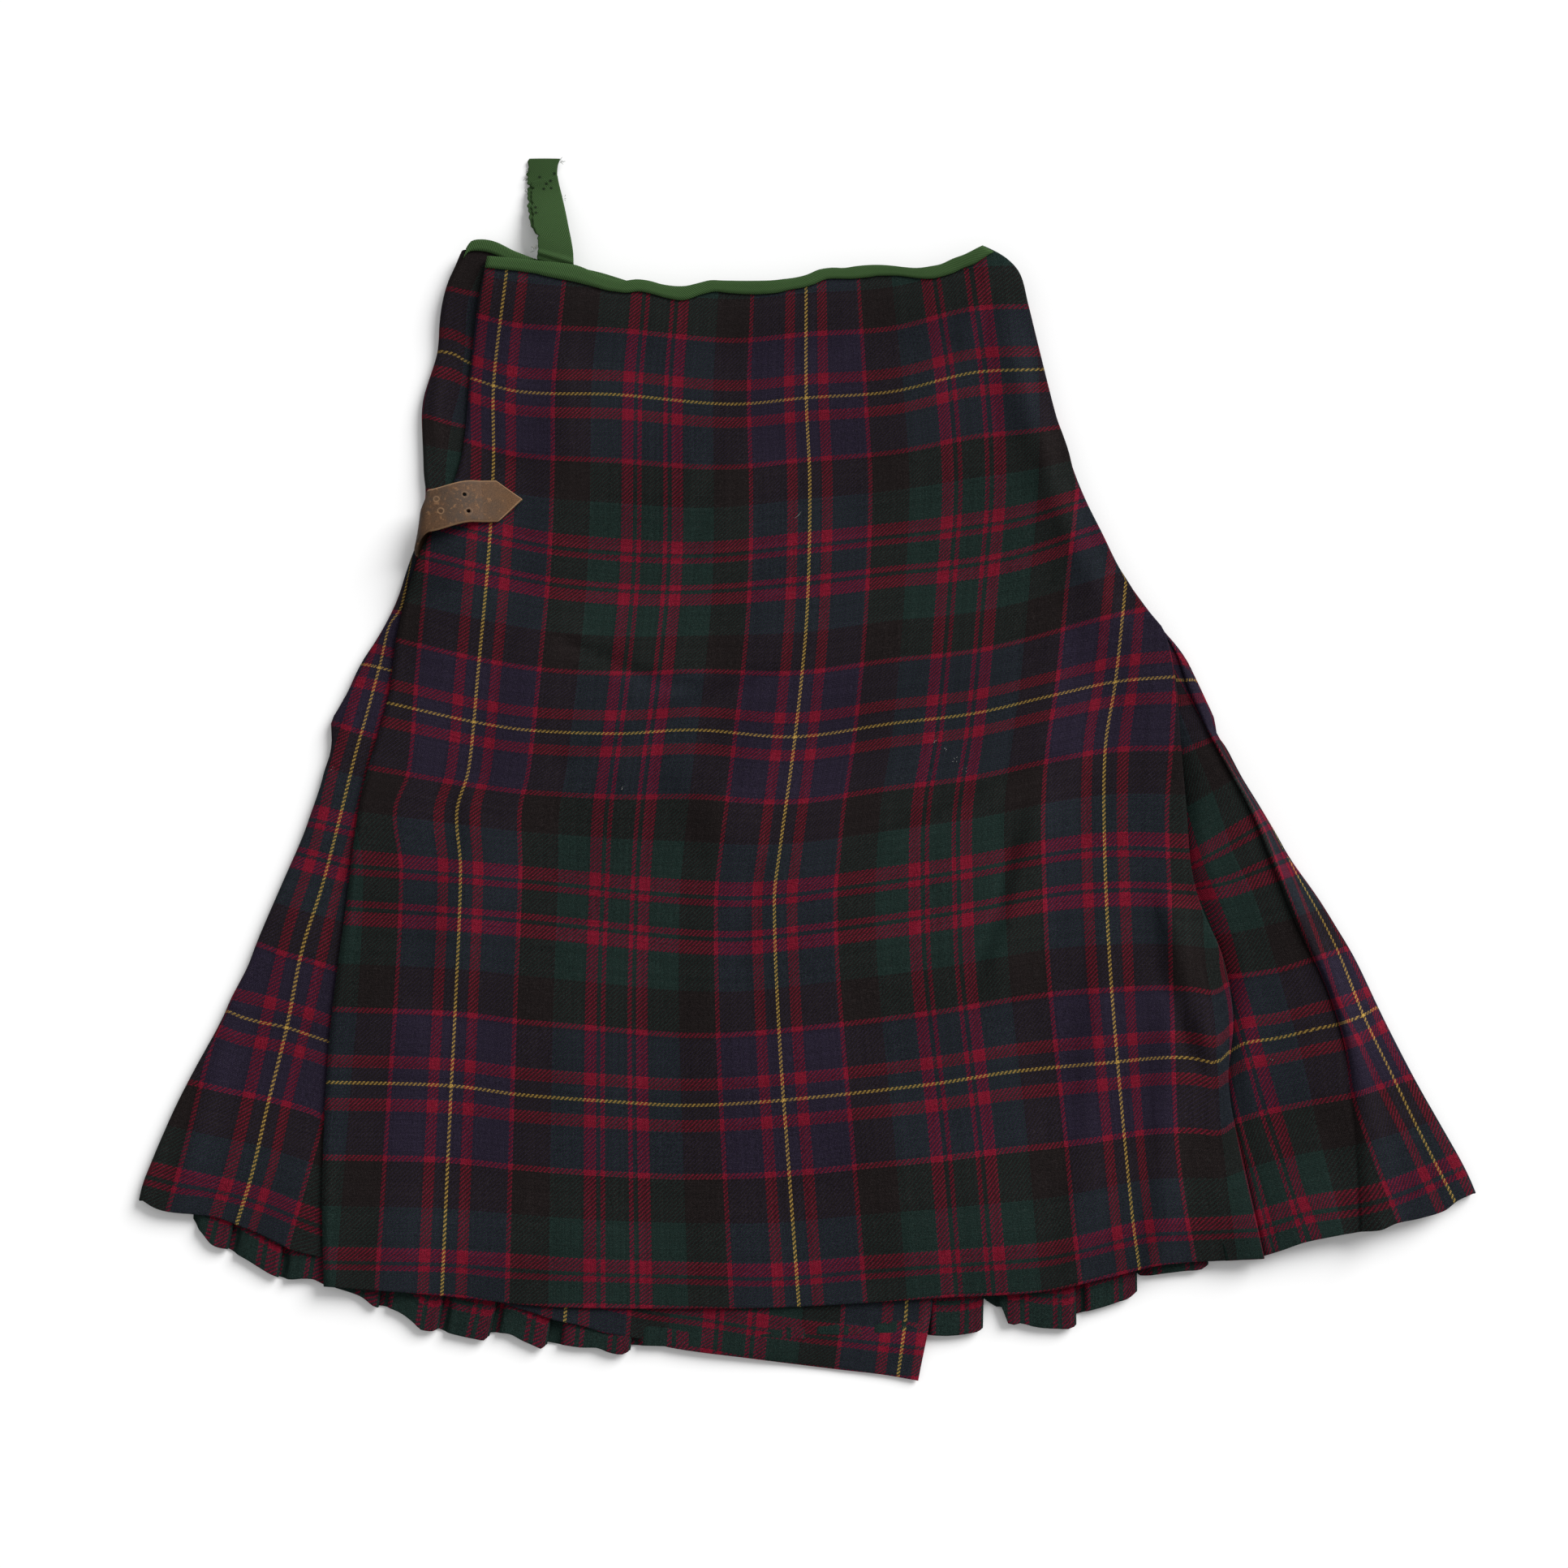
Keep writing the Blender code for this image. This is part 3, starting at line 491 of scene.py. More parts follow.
def makeTape():  # herringbone; the UV is in millimetres, across and along
    material, tree, shader = newMaterial("greenTape", 0.92, 0.0, 0.08)
    across, along, _ = axesOf(tree, readUv(tree))
    zigzag = calc(tree, "PINGPONG", across, tapeLook["column"])
    ribs = calc(tree, "FRACT", calc(tree, "DIVIDE", calc(tree, "ADD", along, zigzag), tapeLook["ribPitch"]))
    rib = calc(tree, "SINE", calc(tree, "MULTIPLY", ribs, math.pi))
    # painted shade in the grooves between the ribs, the green on their tops
    coloured = blendColour(tree, rib, tapeLook["shade"], tapeLook["green"])
    wear = placeGroup(tree, wearGroup, Colour=coloured, Cloud=0.7, Fibre=0.5)
    # the marks blend in the hole colour: painted shade in the moth holes, and a little over the whole loop
    tree.links.new(blendColour(tree, readMarks(tree), wear.outputs["Colour"], tapeLook["hole"]),
                   shader.inputs["Base Color"])
    addBump(tree, shader, rib, 0.6, 0.00025)
    return material


leatherLook = {
    "face": (0.088, 0.047, 0.025, 1), "grey": (0.062, 0.040, 0.027, 1), "tan": (0.200, 0.106, 0.052, 1),
    # the dark colour is painted shade in the strap's fold and on the walls of the punched holes, and the colour of
    # the closed holes
    "edge": (0.360, 0.215, 0.115, 1), "dark": (0.020, 0.010, 0.006, 1),
    "patchScale": 110, "scuffScale": 420, "grainScale": 2600, "scuffShare": 0.75,
    "tipFrom": 66, "tipTo": 92, "tipShare": 0.4,  # the length is rubbed paler towards its point
}


def makeLeather():
    material, tree, shader = newMaterial("brownLeather", 0.7, 0.0, 0.12)
    look, coords = leatherLook, coordsOf(tree)
    patches = spanOf(tree, noiseOf(tree, coords, look["patchScale"], 5), 0.40, 0.60)
    scuffs = spanOf(tree, noiseOf(tree, coords, look["scuffScale"], 5), 0.56, 0.70)
    grain = noiseOf(tree, coords, look["grainScale"], 3)
    base = blendColour(tree, patches, look["grey"], look["face"])
    tip = spanOf(tree, axesOf(tree, readUv(tree))[0], look["tipFrom"], look["tipTo"], 0, look["tipShare"])
    rubs = calc(tree, "MAXIMUM", calc(tree, "MULTIPLY", scuffs, look["scuffShare"]), tip)
    base = blendColour(tree, rubs, base, look["tan"])
    base = blendColour(tree, 1.0, base, spanOf(tree, grain, 0.25, 0.75, 0.5, 1.5), "MULTIPLY")
    marks = readMarks(tree)
    rubbed = spanOf(tree, marks, 0.1, 1.0)
    # below zero the marks darken the leather: painted shade in the fold and the punched holes, and darker closed
    # holes
    foldShadeAndHoleDark = spanOf(tree, calc(tree, "MULTIPLY", marks, -1.0), 0.1, 1.0)
    base = blendColour(tree, rubbed, base, look["edge"])
    tree.links.new(blendColour(tree, foldShadeAndHoleDark, base, look["dark"]), shader.inputs["Base Color"])
    tree.links.new(spanOf(tree, scuffs, 0, 1, 0.55, 0.78), shader.inputs["Roughness"])
    addBump(tree, shader, calc(tree, "ADD", grain, calc(tree, "MULTIPLY", scuffs, 0.6)), 0.5, 0.00018)
    return material


def makeLint():
    material, tree, shader = newMaterial("paleLint", 0.9, 0.1, 0.1)
    colour = blendColour(tree, noiseOf(tree, coordsOf(tree), 900), (0.30, 0.29, 0.27, 1), (0.62, 0.60, 0.55, 1))
    tree.links.new(colour, shader.inputs["Base Color"])
    return material


wool, tape, leather, lintColour = makeWool(), makeTape(), makeLeather(), makeLint()
print("materials made")


def weaveMap(warpLines, weftLines):  # where the cloth's lines run: 0 is a yellow one, 1 mid-green
    warps = [(count, lineOf(points, 1, 0, False)) for count, points in warpLines]
    wefts = [(count, lineOf(points, 0, 1, False)) for count, points in weftLines]

    def at(x, y):
        across = sorted((line(y), count) for count, line in warps)
        down = sorted((line(x), count) for count, line in wefts)
        return (onLine([k for k, _ in across], [c for _, c in across], x, False),
                onLine([k for k, _ in down], [c for _, c in down], y, False))

    return at


overWeave = weaveMap([
    (0, [(-182, 288), (-188, 217), (-187, 166), (-189, 101), (-193, 37), (-197, -21), (-203, -45),
         (-200, -79), (-201, -163), (-202, -203), (-204, -317)]),
    (1, [(-89, 259), (-92, 212), (-92, 101), (-97, 37), (-106, -45), (-108, -93), (-109, -163), (-106, -319)]),
    (2, [(0, 276), (0, 207), (2, 151), (0, 71), (-7, -1), (-16, -69), (-19, -97), (-16, -176), (-11, -245),
         (-5, -325)]),
    (3, [(92, 259), (97, 219), (100, 156), (96, 101), (86, 3), (78, -45), (77, -93), (78, -139), (87, -231),
         (92, -302)]),
    (4, [(194, 131), (189, 94), (181, 32), (174, -7), (172, -60), (173, -130), (176, -190),
         (182, -276), (185, -303)]),
    (4.376, [(216, 30), (213, -5), (209, -45), (209, -93), (208, -227), (211, -265), (216, -298)]),
    (4.61, [(238, 30), (232, -38), (228, -93), (228, -130), (232, -163), (234, -231), (240, -298)]),
    (4.8375, [(252, 30), (240, -93), (237, -135), (241, -158), (241, -200), (246, -245), (258, -295)]),
], [
    (-1, [(-204, 331), (-114, 320), (-46, 314), (0, 318), (52, 322), (101, 334), (142, 336)]),
    (0, [(-204, 220), (-173, 211), (-114, 209), (-46, 203), (0, 207), (52, 211), (101, 223), (142, 225)]),
    (1, [(-219, 117), (-190, 110), (-141, 101), (-69, 97), (0, 103), (51, 109), (81, 112), (124, 119),
         (162, 131)]),
    (2, [(-244, 19), (-195, 8), (-163, 3), (-111, 1), (-64, 3), (-7, -1), (50, 7), (98, 13), (145, 24),
         (181, 32), (216, 35)]),
    (3, [(-259, -90), (-192, -95), (-138, -100), (-91, -105), (-44, -108), (-13, -106), (49, -98),
         (96, -91), (143, -82), (181, -79), (226, -81)]),
    (4, [(-273, -201), (-202, -203), (-163, -208), (-108, -212), (-67, -214), (-13, -211), (71, -202),
         (117, -195), (176, -189.5), (193, -187.8), (210, -187), (222, -188), (231, -190), (236, -187.5),
         (241, -182)]),
    (4.8375, [(-270, -296), (-214, -297), (-193, -298), (-167, -299.5), (-121, -302.5), (-68, -304), (-18, -305),
              (30, -301), (76, -298), (130, -294), (154, -289.5), (174, -284.5), (191, -281), (214, -280)]),
    (4.915, [(-270, -303), (-214, -304), (-193, -305), (-167, -307.5), (-121, -309.5), (-68, -311), (-18, -312),
             (30, -308.5), (76, -305), (130, -301.5), (153, -297), (175, -291.5), (193, -288), (215, -287)]),
])
underWeave = weaveMap([
    (-0.366, [(-298, 286), (-300, 213), (-307, 157), (-270, 104), (-282, 52), (-300, -12), (-308, -60), (-323, -120),
              (-338, -177), (-344, -204), (-350, -234), (-354, -252), (-359.5, -274)]),
    (-0.107, [(-273, 286), (-275, 213), (-283, 157), (-246, 104), (-255.4, 52), (-262, 32.5), (-269, 6), (-276, -21),
              (-281, -48), (-288, -77), (-297, -107), (-305, -145), (-314, -194), (-325, -249), (-333, -276)]),
    (0, [(-262.6, 286), (-263, 255), (-268, 213), (-270, 193), (-273, 157), (-270, 148), (-238, 108), (-236.4, 103),
         (-239.9, 76.8), (-246.3, 67), (-251.2, 42.3), (-257.8, 13), (-263.6, -11), (-271, -47), (-280, -89),
         (-290, -125), (-297, -170), (-306, -214), (-313.5, -253.7), (-320, -278)]),
    (0.107, [(-252.4, 286), (-257.8, 213), (-263, 157), (-228, 104), (-236, 60), (-248, 13), (-260, -47), (-271, -89),
             (-279, -131), (-289, -183), (-296, -216), (-302, -249), (-312, -283)]),
    (0.366, [(-228, 286), (-233.5, 213), (-239, 157), (-203, 104), (-225, 13), (-245, -80), (-262, -165),
             (-274, -218), (-284, -258), (-292, -291)]),
    (0.604, [(-186, 308), (-194.5, 296.5), (-199.5, 288), (-205.6, 269), (-206.6, 240), (-209, 213), (-213.4, 193),
             (-216.2, 157), (-214, 148), (-181, 104), (-205, 0), (-262, -280)]),
    (2, [(-100, 286), (-110, 100), (-135, -325)]), (4, [(85, 307), (55, -323), (50, -361)]),
], [
    (-0.366, [(-222, 278.6), (-203, 274), (-95, 254), (52, 254)]),
    (0, [(-222.5, 237.5), (-212.6, 235.4), (-202.6, 229.7), (-95, 213), (52, 213)]),
    (0.366, [(-228.6, 196.3), (-206.5, 190.1), (-95, 172), (52, 172)]),
    (0.604, [(-229, 178.4), (-211, 174.5), (-95, 150), (52, 150)]),
    (0.802, [(-229, 152), (-211, 148), (-95, 126), (52, 126)]),
    (2, [(-262, 43.3), (-252.6, 41.4), (-243.4, 38.9), (-140, 13), (50, 8)]),
    (2.366, [(-270.4, 5.7), (-259.3, 2), (-249.7, -0.6), (-140, -25), (50, -30)]),
    (2.8375, [(-280, -46), (-250, -53), (-140, -84), (50, -94)]),
    (3.1625, [(-288, -77), (-255, -86), (-140, -122), (50, -138)]),
    (3.634, [(-314, -123), (-301, -128), (-290, -131), (-280, -134), (-140, -175), (50, -198)]),
    (3.893, [(-329, -151), (-307, -156), (-285, -162), (-274, -166), (-136, -212), (44, -235)]),
    (4, [(-332, -160), (-323, -164), (-312, -167), (-297, -170), (-285, -174), (-273, -178), (-136, -224),
         (44, -247)]),
    (4.107, [(-335, -172), (-324, -176), (-298, -181), (-274, -188), (-136, -236), (44, -259)]),
    (4.366, [(-344, -202), (-331, -205), (-306, -210), (-281, -217), (-275, -220), (-136, -264), (44, -287)]),
    (4.8375, [(-368.6, -249.2), (-354.7, -252.4), (-336.2, -256.4), (-327, -258.3), (-306.2, -263.6),
              (-286.2, -271.3), (-273.7, -275.3), (-97.6, -321.4), (-59.1, -327.3), (-29.7, -331.8), (2, -336.4),
              (20, -338.2), (41.7, -340.4), (60.6, -342.6)]),
    (4.915, [(-368.1, -257.6), (-356.5, -260.6), (-335.9, -263.6), (-308.1, -270.8), (-288.7, -278.4),
             (-274.8, -283.6), (-97.5, -328.5), (-59, -334.1), (-28.7, -339.1), (2, -343.2), (20, -345.1),
             (40.3, -347.4), (60.6, -349.4)]),
])
sideWeave = weaveMap([
    (4.8375, [(170, -16), (185, -67), (211, -130), (225, -165), (236, -213), (245, -245), (252, -276), (257, -295)]),
    (4.915, [(178, -16), (193, -67), (220, -130), (233, -165), (242, -213), (246, -231), (253, -256), (262, -294)]),
    (5.085, [(194, -16), (209, -67), (226, -110), (239, -150), (250, -190), (257, -219), (265, -245), (277, -287)]),
    (5.1625, [(210, -16), (223, -67), (228, -84), (238, -110), (245, -139), (252, -167), (260, -199),
              (270, -235), (276, -260), (285, -285)]),
    (5.39, [(229, -16), (237, -38), (246, -69), (258, -97), (271, -146), (282, -193), (288, -228), (298, -276)]),
    (5.624, [(240, -8), (262, -50), (276, -90), (287, -121), (299, -153), (306, -180), (309, -209),
             (320, -247), (330, -276)]),
    (5.886, [(236, 14), (243, -8), (252, -26), (265, -50), (278, -79), (285, -98), (295, -129), (303, -156),
             (312, -176), (324, -204), (338, -233), (353, -269)]),
    (6, [(273, -62), (281, -80), (293, -103), (304, -127), (317, -164), (331, -196), (344, -226), (362, -265)]),
    (6.114, [(308, -122), (319, -146), (327, -170), (339, -196), (364, -244), (370, -256)]),
], [
    (2, [(215, 33), (221, 33)]),
    (2.376, [(223, -9), (235, -4)]),
    (2.8375, [(237, -63), (247, -57), (257, -51)]),
    (3.1625, [(229, -94), (243, -92), (255, -88), (272, -82)]),
    (3.624, [(246, -140), (255, -139), (272, -136), (288, -131)]),
    (4, [(240, -184), (249, -179), (268, -176), (289, -171), (303, -168), (317, -163), (324, -159)]),
    (4.376, [(244, -223), (257, -219), (286, -213), (309, -209), (322, -205)]),
    (4.8375, [(252, -276), (259, -274), (281, -268), (313, -263), (336, -256), (366, -244)]),
])


def rowShare(row, rows, power, length):  # closer towards the waist, and close at the hem for its rim
    nearHem = (0.0, 0.35, 0.9)
    if row > rows - 3:
        return 1 - nearHem[rows - row] / length
    return (row / (rows - 2)) ** power * (1 - 2.2 / length)


def waistBinding(name, cloth, first, columns, room, firstCount, width=None):  # tape folded over a waist edge
    leg, out, steps = 7.0, tapeClear + tapeWall / 2, 5
    reach = clothWall / 2 + out
    turn = [(-out * math.sin(math.pi * n / steps), -math.cos(math.pi * n / steps)) for n in range(steps + 1)]
    profile = [(leg, -1), (leg / 2, -1)] + turn + [(leg / 3, 1), (leg * 2 / 3, 1), (leg, 1)]  # behind, then in front
    edges = [Vector(cloth(column, 0)) for column in range(first, columns + 1)]
    last = len(edges) - 1
    lengths = [0.0]
    for a, b in zip(edges, edges[1:]):
        lengths.append(lengths[-1] + (b - a).length)

    def place(column, row):
        edge, down = edges[row], (Vector(cloth(first + row, 1)) - edges[row]).normalized()
        along = edges[min(row + 1, last)] - edges[max(row - 1, 0)]
        face = down.cross(along).normalized()
        distance, side = profile[column]
        if distance > 0:
            distance *= (width(edge.x) / leg if width else 1) * (
                1 + 0.09 * noise.noise(Vector((edge.x / 9, firstCount, side))))
        away = side * reach if side > 0 else side * (reach + room(first + row))
        slide = down * distance if distance > 0 else along.normalized().cross(face) * distance
        return edge + slide + face * away

    return makeSheet(name, len(profile) - 1, last, place, tapeWall, tape,
                     lambda column, row: (profile[column][0] * 0.7 + 0.5, -lengths[row]))


tapeWidths = [(-190, 7), (-165, 7.6), (-150, 9.6), (-138, 10.2), (-129, 8.6), (-115, 7.2), (-95, 7.6), (-80, 8.6),
              (-65, 7), (-52, 7.6), (-41, 8.8), (-28, 8.8), (-11, 7.2), (8, 7), (18, 8.4), (40, 8.8), (57, 9.6),
              (68, 10.3), (80, 8.9), (90, 8.8), (100, 8), (108, 7.4)]  # x, and how far the tape reaches down


overLook = {
    "columns": 120, "rows": 150, "length": 610,
    "return": 20.0, "doubled": 26 / 0.9, "doubledRise": 0.7,  # the right edge is turned under and lies double
    "strapLift": 4.4, "strapY": 118, "strapReach": 26,  # the left edge climbs over the strap's hidden end
    "flatX": -150, "flatTop": 178, "flatFoot": 76, "flatFade": 16,  # and is flat under the strap's point
    "relief": 2.1,  # room for the creases to sink
}


def makeOverApron():
    look = overLook
    columns, rows = look["columns"], look["rows"]
    at = panelPatch(*(curveThrough(line) for line in (overWaist, overHem, overLeft, overRight)))
    radius = layerStep / 2 + 0.1

    def doubled(u, v):
        share = ease(1 - (at(1, v) - at(u, v)).length / look["doubled"])
        return (2 * radius + look["doubledRise"] * ease(v * 12)) * share

    def lift(u, v):
        spot = at(u, v)
        overStrap = ease(1.5 - abs(spot.y - look["strapY"]) / look["strapReach"]) * ease(1.6 - u * 13)
        clear = ease(v * 8) * ease((1 - u) * 22)
        flat = ease((look["flatTop"] - spot.y) / look["flatFade"]) * ease(
            (spot.y - look["flatFoot"]) / look["flatFade"]) * ease((look["flatX"] - spot.x) / 20)
        relief = look["relief"] * ease(u * 14) * ease((1 - v) * 16) * (1 - flat)
        relief += foldHeight(overFolds, spot.x, spot.y) + unevenness(spot.x, spot.y, 1, 1.1, 0.25)
        return (upperHeight(spot.x, spot.y) + doubled(u, v) + look["strapLift"] * overStrap
                + clear * max(relief, 0))

    def place(column, row):
        v = rowShare(row, rows, 1.1, look["length"])
        if column <= columns:
            spot = at(column / columns, v)
            return settled(spot.x, spot.y, lift(column / columns, v), overPlane)
        spot = at(1, v)
        inward = (at(1 - 1 / columns, v) - spot).normalized()
        top = lift(1, v)
        out, height = turnedEdge(top - 2 * radius, radius, look["return"])[column - columns - 1]
        edge = settled(spot.x, spot.y, top, overPlane)
        return (edge[0] - inward.x * out, edge[1] - inward.y * out, height)

    def pattern(column, row):
        across, down = overWeave(*seenFrom(place(min(column, columns), row), overPlane))
        return (across + max(column - columns, 0) * 0.02, down)

    apron = makeSheet("overApron", columns + turnColumns, rows, place, clothWall, wool, pattern)
    binding = waistBinding("overBinding", place, 0, columns, lambda c: doubled(c / columns, 0), 1,
                           lineOf(tapeWidths, 0, 1))
    return apron, binding


underLook = {
    "columns": 90, "rows": 130, "length": 610,
    "flatY": 124, "flatHalf": 36,  # flat under the strap
    "droop": 2.2, "droopX": -140, "pastRun": 13, "hemY": -347, "hemRun": 12,  # sinks past the upper hem
}


def makeUnderApron():
    look, wrap = underLook, turnColumns
    columns, rows = look["columns"], look["rows"]
    left = sideEdge(-1, -3, hemDrop + 4, sideRoll)
    at = panelPatch(*(curveThrough(line) for line in (underWaist, underHem, left, underRight)))
    overLeftAt, overHemAt = lineOf(overLeft, 1, 0), lineOf(overHem, 0, 1)

    def height(spot, u, v):
        inner = ease(v * 10) * ease(u * 30)
        past = overHemAt(spot.x) - spot.y
        shown = max(ease((overLeftAt(spot.y) - spot.x - 4) / 20), ease((past - 3) / 10))
        loose = ease((abs(spot.y - look["flatY"]) - look["flatHalf"]) / 20) * inner
        droop = look["droop"] * ease((spot.x - look["droopX"]) / 50) * (
            ease(past / look["pastRun"]) + ease((look["hemY"] - spot.y) / look["hemRun"]))
        return (lowerHeight(spot.x, spot.y) + foldHeight(underFolds, spot.x, spot.y) * inner - droop
                + shown * loose * max(unevenness(spot.x, spot.y, 2, 0.9, 0.25), 0))

    def place(column, row):
        v = rowShare(row, rows, 1.1, look["length"])
        if column >= wrap:
            u = ((column - wrap) / columns) ** 1.15
            spot = at(u, v)
            return settled(spot.x, spot.y, height(spot, u, v), underPlane)
        spot = at(0, v)
        top = height(spot, 0, v)
        bottom = tapeStep * waistLift(spot.x, spot.y) + clothWall / 2
        out, low = turnedEdge(bottom, (top - bottom) / 2, wrapReach, -1)[wrap - 1 - column]
        edge = settled(spot.x, spot.y, top, underPlane)
        return (edge[0] + out, edge[1], low)

    def pattern(column, row):
        across, down = underWeave(*seenFrom(place(max(column, wrap), row), underPlane))
        return (across - max(wrap - column, 0) * 0.03, down)

    apron = makeSheet("underApron", wrap + columns, rows, place, clothWall, wool, pattern)
    return apron, waistBinding("underBinding", place, wrap, wrap + columns, lambda c: 0.0, 2)


crease = [  # between the recessed and the raised part: drop, x, rise
    (34, 118, 0), (120, 140, 0), (197, 170, 0), (230, 200, 0), (243, 214, 0.7), (263, 221, 1.7),
    (278, 226, 2.4), (292, 233, 2.9), (304, 238, 3.2), (326, 248, 3.4), (348, 259, 3.7), (369, 266, 4.2),
    (390, 274, 4.7), (421, 285, 5.1), (453, 299, 5.3), (490, 307, 4.6), (530, 309, 4), (585, 312, 4),
]
panelHem = [(226, -300), (249, -299), (256, -297), (266, -294), (278, -290), (298, -286), (310, -284),
            (321, -283.2), (330, -279.5), (343, -276.8), (357, -272.6), (365, -267), (374, -263)]


panelLook = {
    "inner": 44, "outer": 44, "rows": 130, "length": 560, "tuck": 28,  # hidden under the upper apron
    "bulge": 8.2, "bulgeY": 24, "bulgeRun": 60, "flatterY": -190, "flatter": 0.3,
    "flank": 13, "flankShare": 0.62, "slowShare": 0.38,  # a steep flank along the upper apron, then a slow rise
    "openY": -150, "ridge": 3.0, "ridgeRun": 20,  # low down the apron's fold opens into this panel
    "troughY": -200, "trough": 1.2, "troughAt": 52, "troughHalf": 9,
    "dip": 0.35, "dipAt": 0.42, "dipHalf": 0.12,
    "raised": [(0.0, 0.0), (0.10, 0.62), (0.24, 0.95), (0.4, 1.0), (0.55, 0.9), (0.7, 0.72), (0.82, 0.5),
               (0.92, 0.26), (1.0, 0.0)],
}


def makeSidePanel():
    look = panelLook
    inner, outer, rows, tuck = look["inner"], look["outer"], look["rows"], look["tuck"]
    creaseX, creaseRise = lineOf(crease, 0, 1), lineOf(crease, 0, 2)
    overEdgeX = lineOf(overRight, 1, 0)
    top, foot = crease[0][0], crease[-1][0]
    drops = [top + (foot - top) * n / 16 for n in range(17)]
    hemInner, hemOuter = panelHem[:7], panelHem[6:]
    creaseLine = [(creaseX(d), waistY - d) for d in drops[:-1]] + [hemInner[-1]]
    hidden = [(overEdgeX(waistY - d) - tuck, waistY - d) for d in drops[:-1]] + [hemInner[0]]
    outline = sideEdge(1, top, hemDrop, -sideRoll)

    def straight(a, b):
        return curveThrough([a, ((a[0] + b[0]) / 2, (a[1] + b[1]) / 2), b])

    recess = panelPatch(straight(hidden[0], creaseLine[0]), curveThrough(hemInner), curveThrough(hidden),
                        curveThrough(creaseLine))
    raised = panelPatch(straight(creaseLine[0], outline[0]), curveThrough(hemOuter), curveThrough(creaseLine),
                        curveThrough(outline))
    shape = lineOf(look["raised"], 0, 1)

    def bulge(y):
        flatter = 1 - look["flatter"] * ease((look["flatterY"] - y) / 70)
        return look["bulge"] * ease((look["bulgeY"] - y) / look["bulgeRun"]) * flatter

    def place(column, row):
        v = rowShare(row, rows, 1.0, look["length"])
        if column <= inner:
            spot = recess(column / inner, v)
            shown = (spot - recess(0, v)).length - tuck
            width = (recess(1, v) - recess(0, v)).length - tuck
            steep = math.sin(math.pi / 2 * min(max(shown / max(min(look["flank"], 0.5 * width), 4), 0), 1))
            slow = ease((shown - 1) / max(0.92 * width, 4))
            swell = bulge(spot.y) * (look["flankShare"] * steep + look["slowShare"] * slow)
            ridge = ease((look["openY"] - spot.y) / 70) * ease((shown - 0.4) / 2.4) * (
                1 - ease((shown - 3) / look["ridgeRun"]))
            trough = ease((look["troughY"] - spot.y) / 40) * math.exp(
                -((shown - look["troughAt"]) / look["troughHalf"]) ** 2)
            z = lowerLevel + max(swell, look["ridge"] * ridge) - min(look["trough"] * trough, swell)
            return settled(spot.x, spot.y, z, overPlane)
        if column <= inner + outer:
            u = ((column - inner) / outer) ** 1.3
            spot = raised(u, v)
            rise = creaseRise(waistY - raised(0, v).y) * shape(u)
            dip = ease((v - 0.75) * 6) * math.exp(-((u - look["dipAt"]) / look["dipHalf"]) ** 2)
            left = bulge(spot.y) * (1 - ease(u / 0.75))
            return settled(spot.x, spot.y, lowerLevel + left + rise * (1 - look["dip"] * dip), overPlane)
        spot, bottom = raised(1, v), clothWall / 2
        out, low = turnedEdge(bottom, (lowerLevel - bottom) / 2, wrapReach)[column - inner - outer - 1]
        return (spot.x + out, spot.y, low)

    def pattern(column, row):
        across, down = sideWeave(*seenFrom(place(min(column, inner + outer), row), overPlane))
        return (across + max(column - inner - outer, 0) * 0.03, down)

    return makeSheet("sidePanel", inner + outer + turnColumns, rows, place, clothWall, wool, pattern)


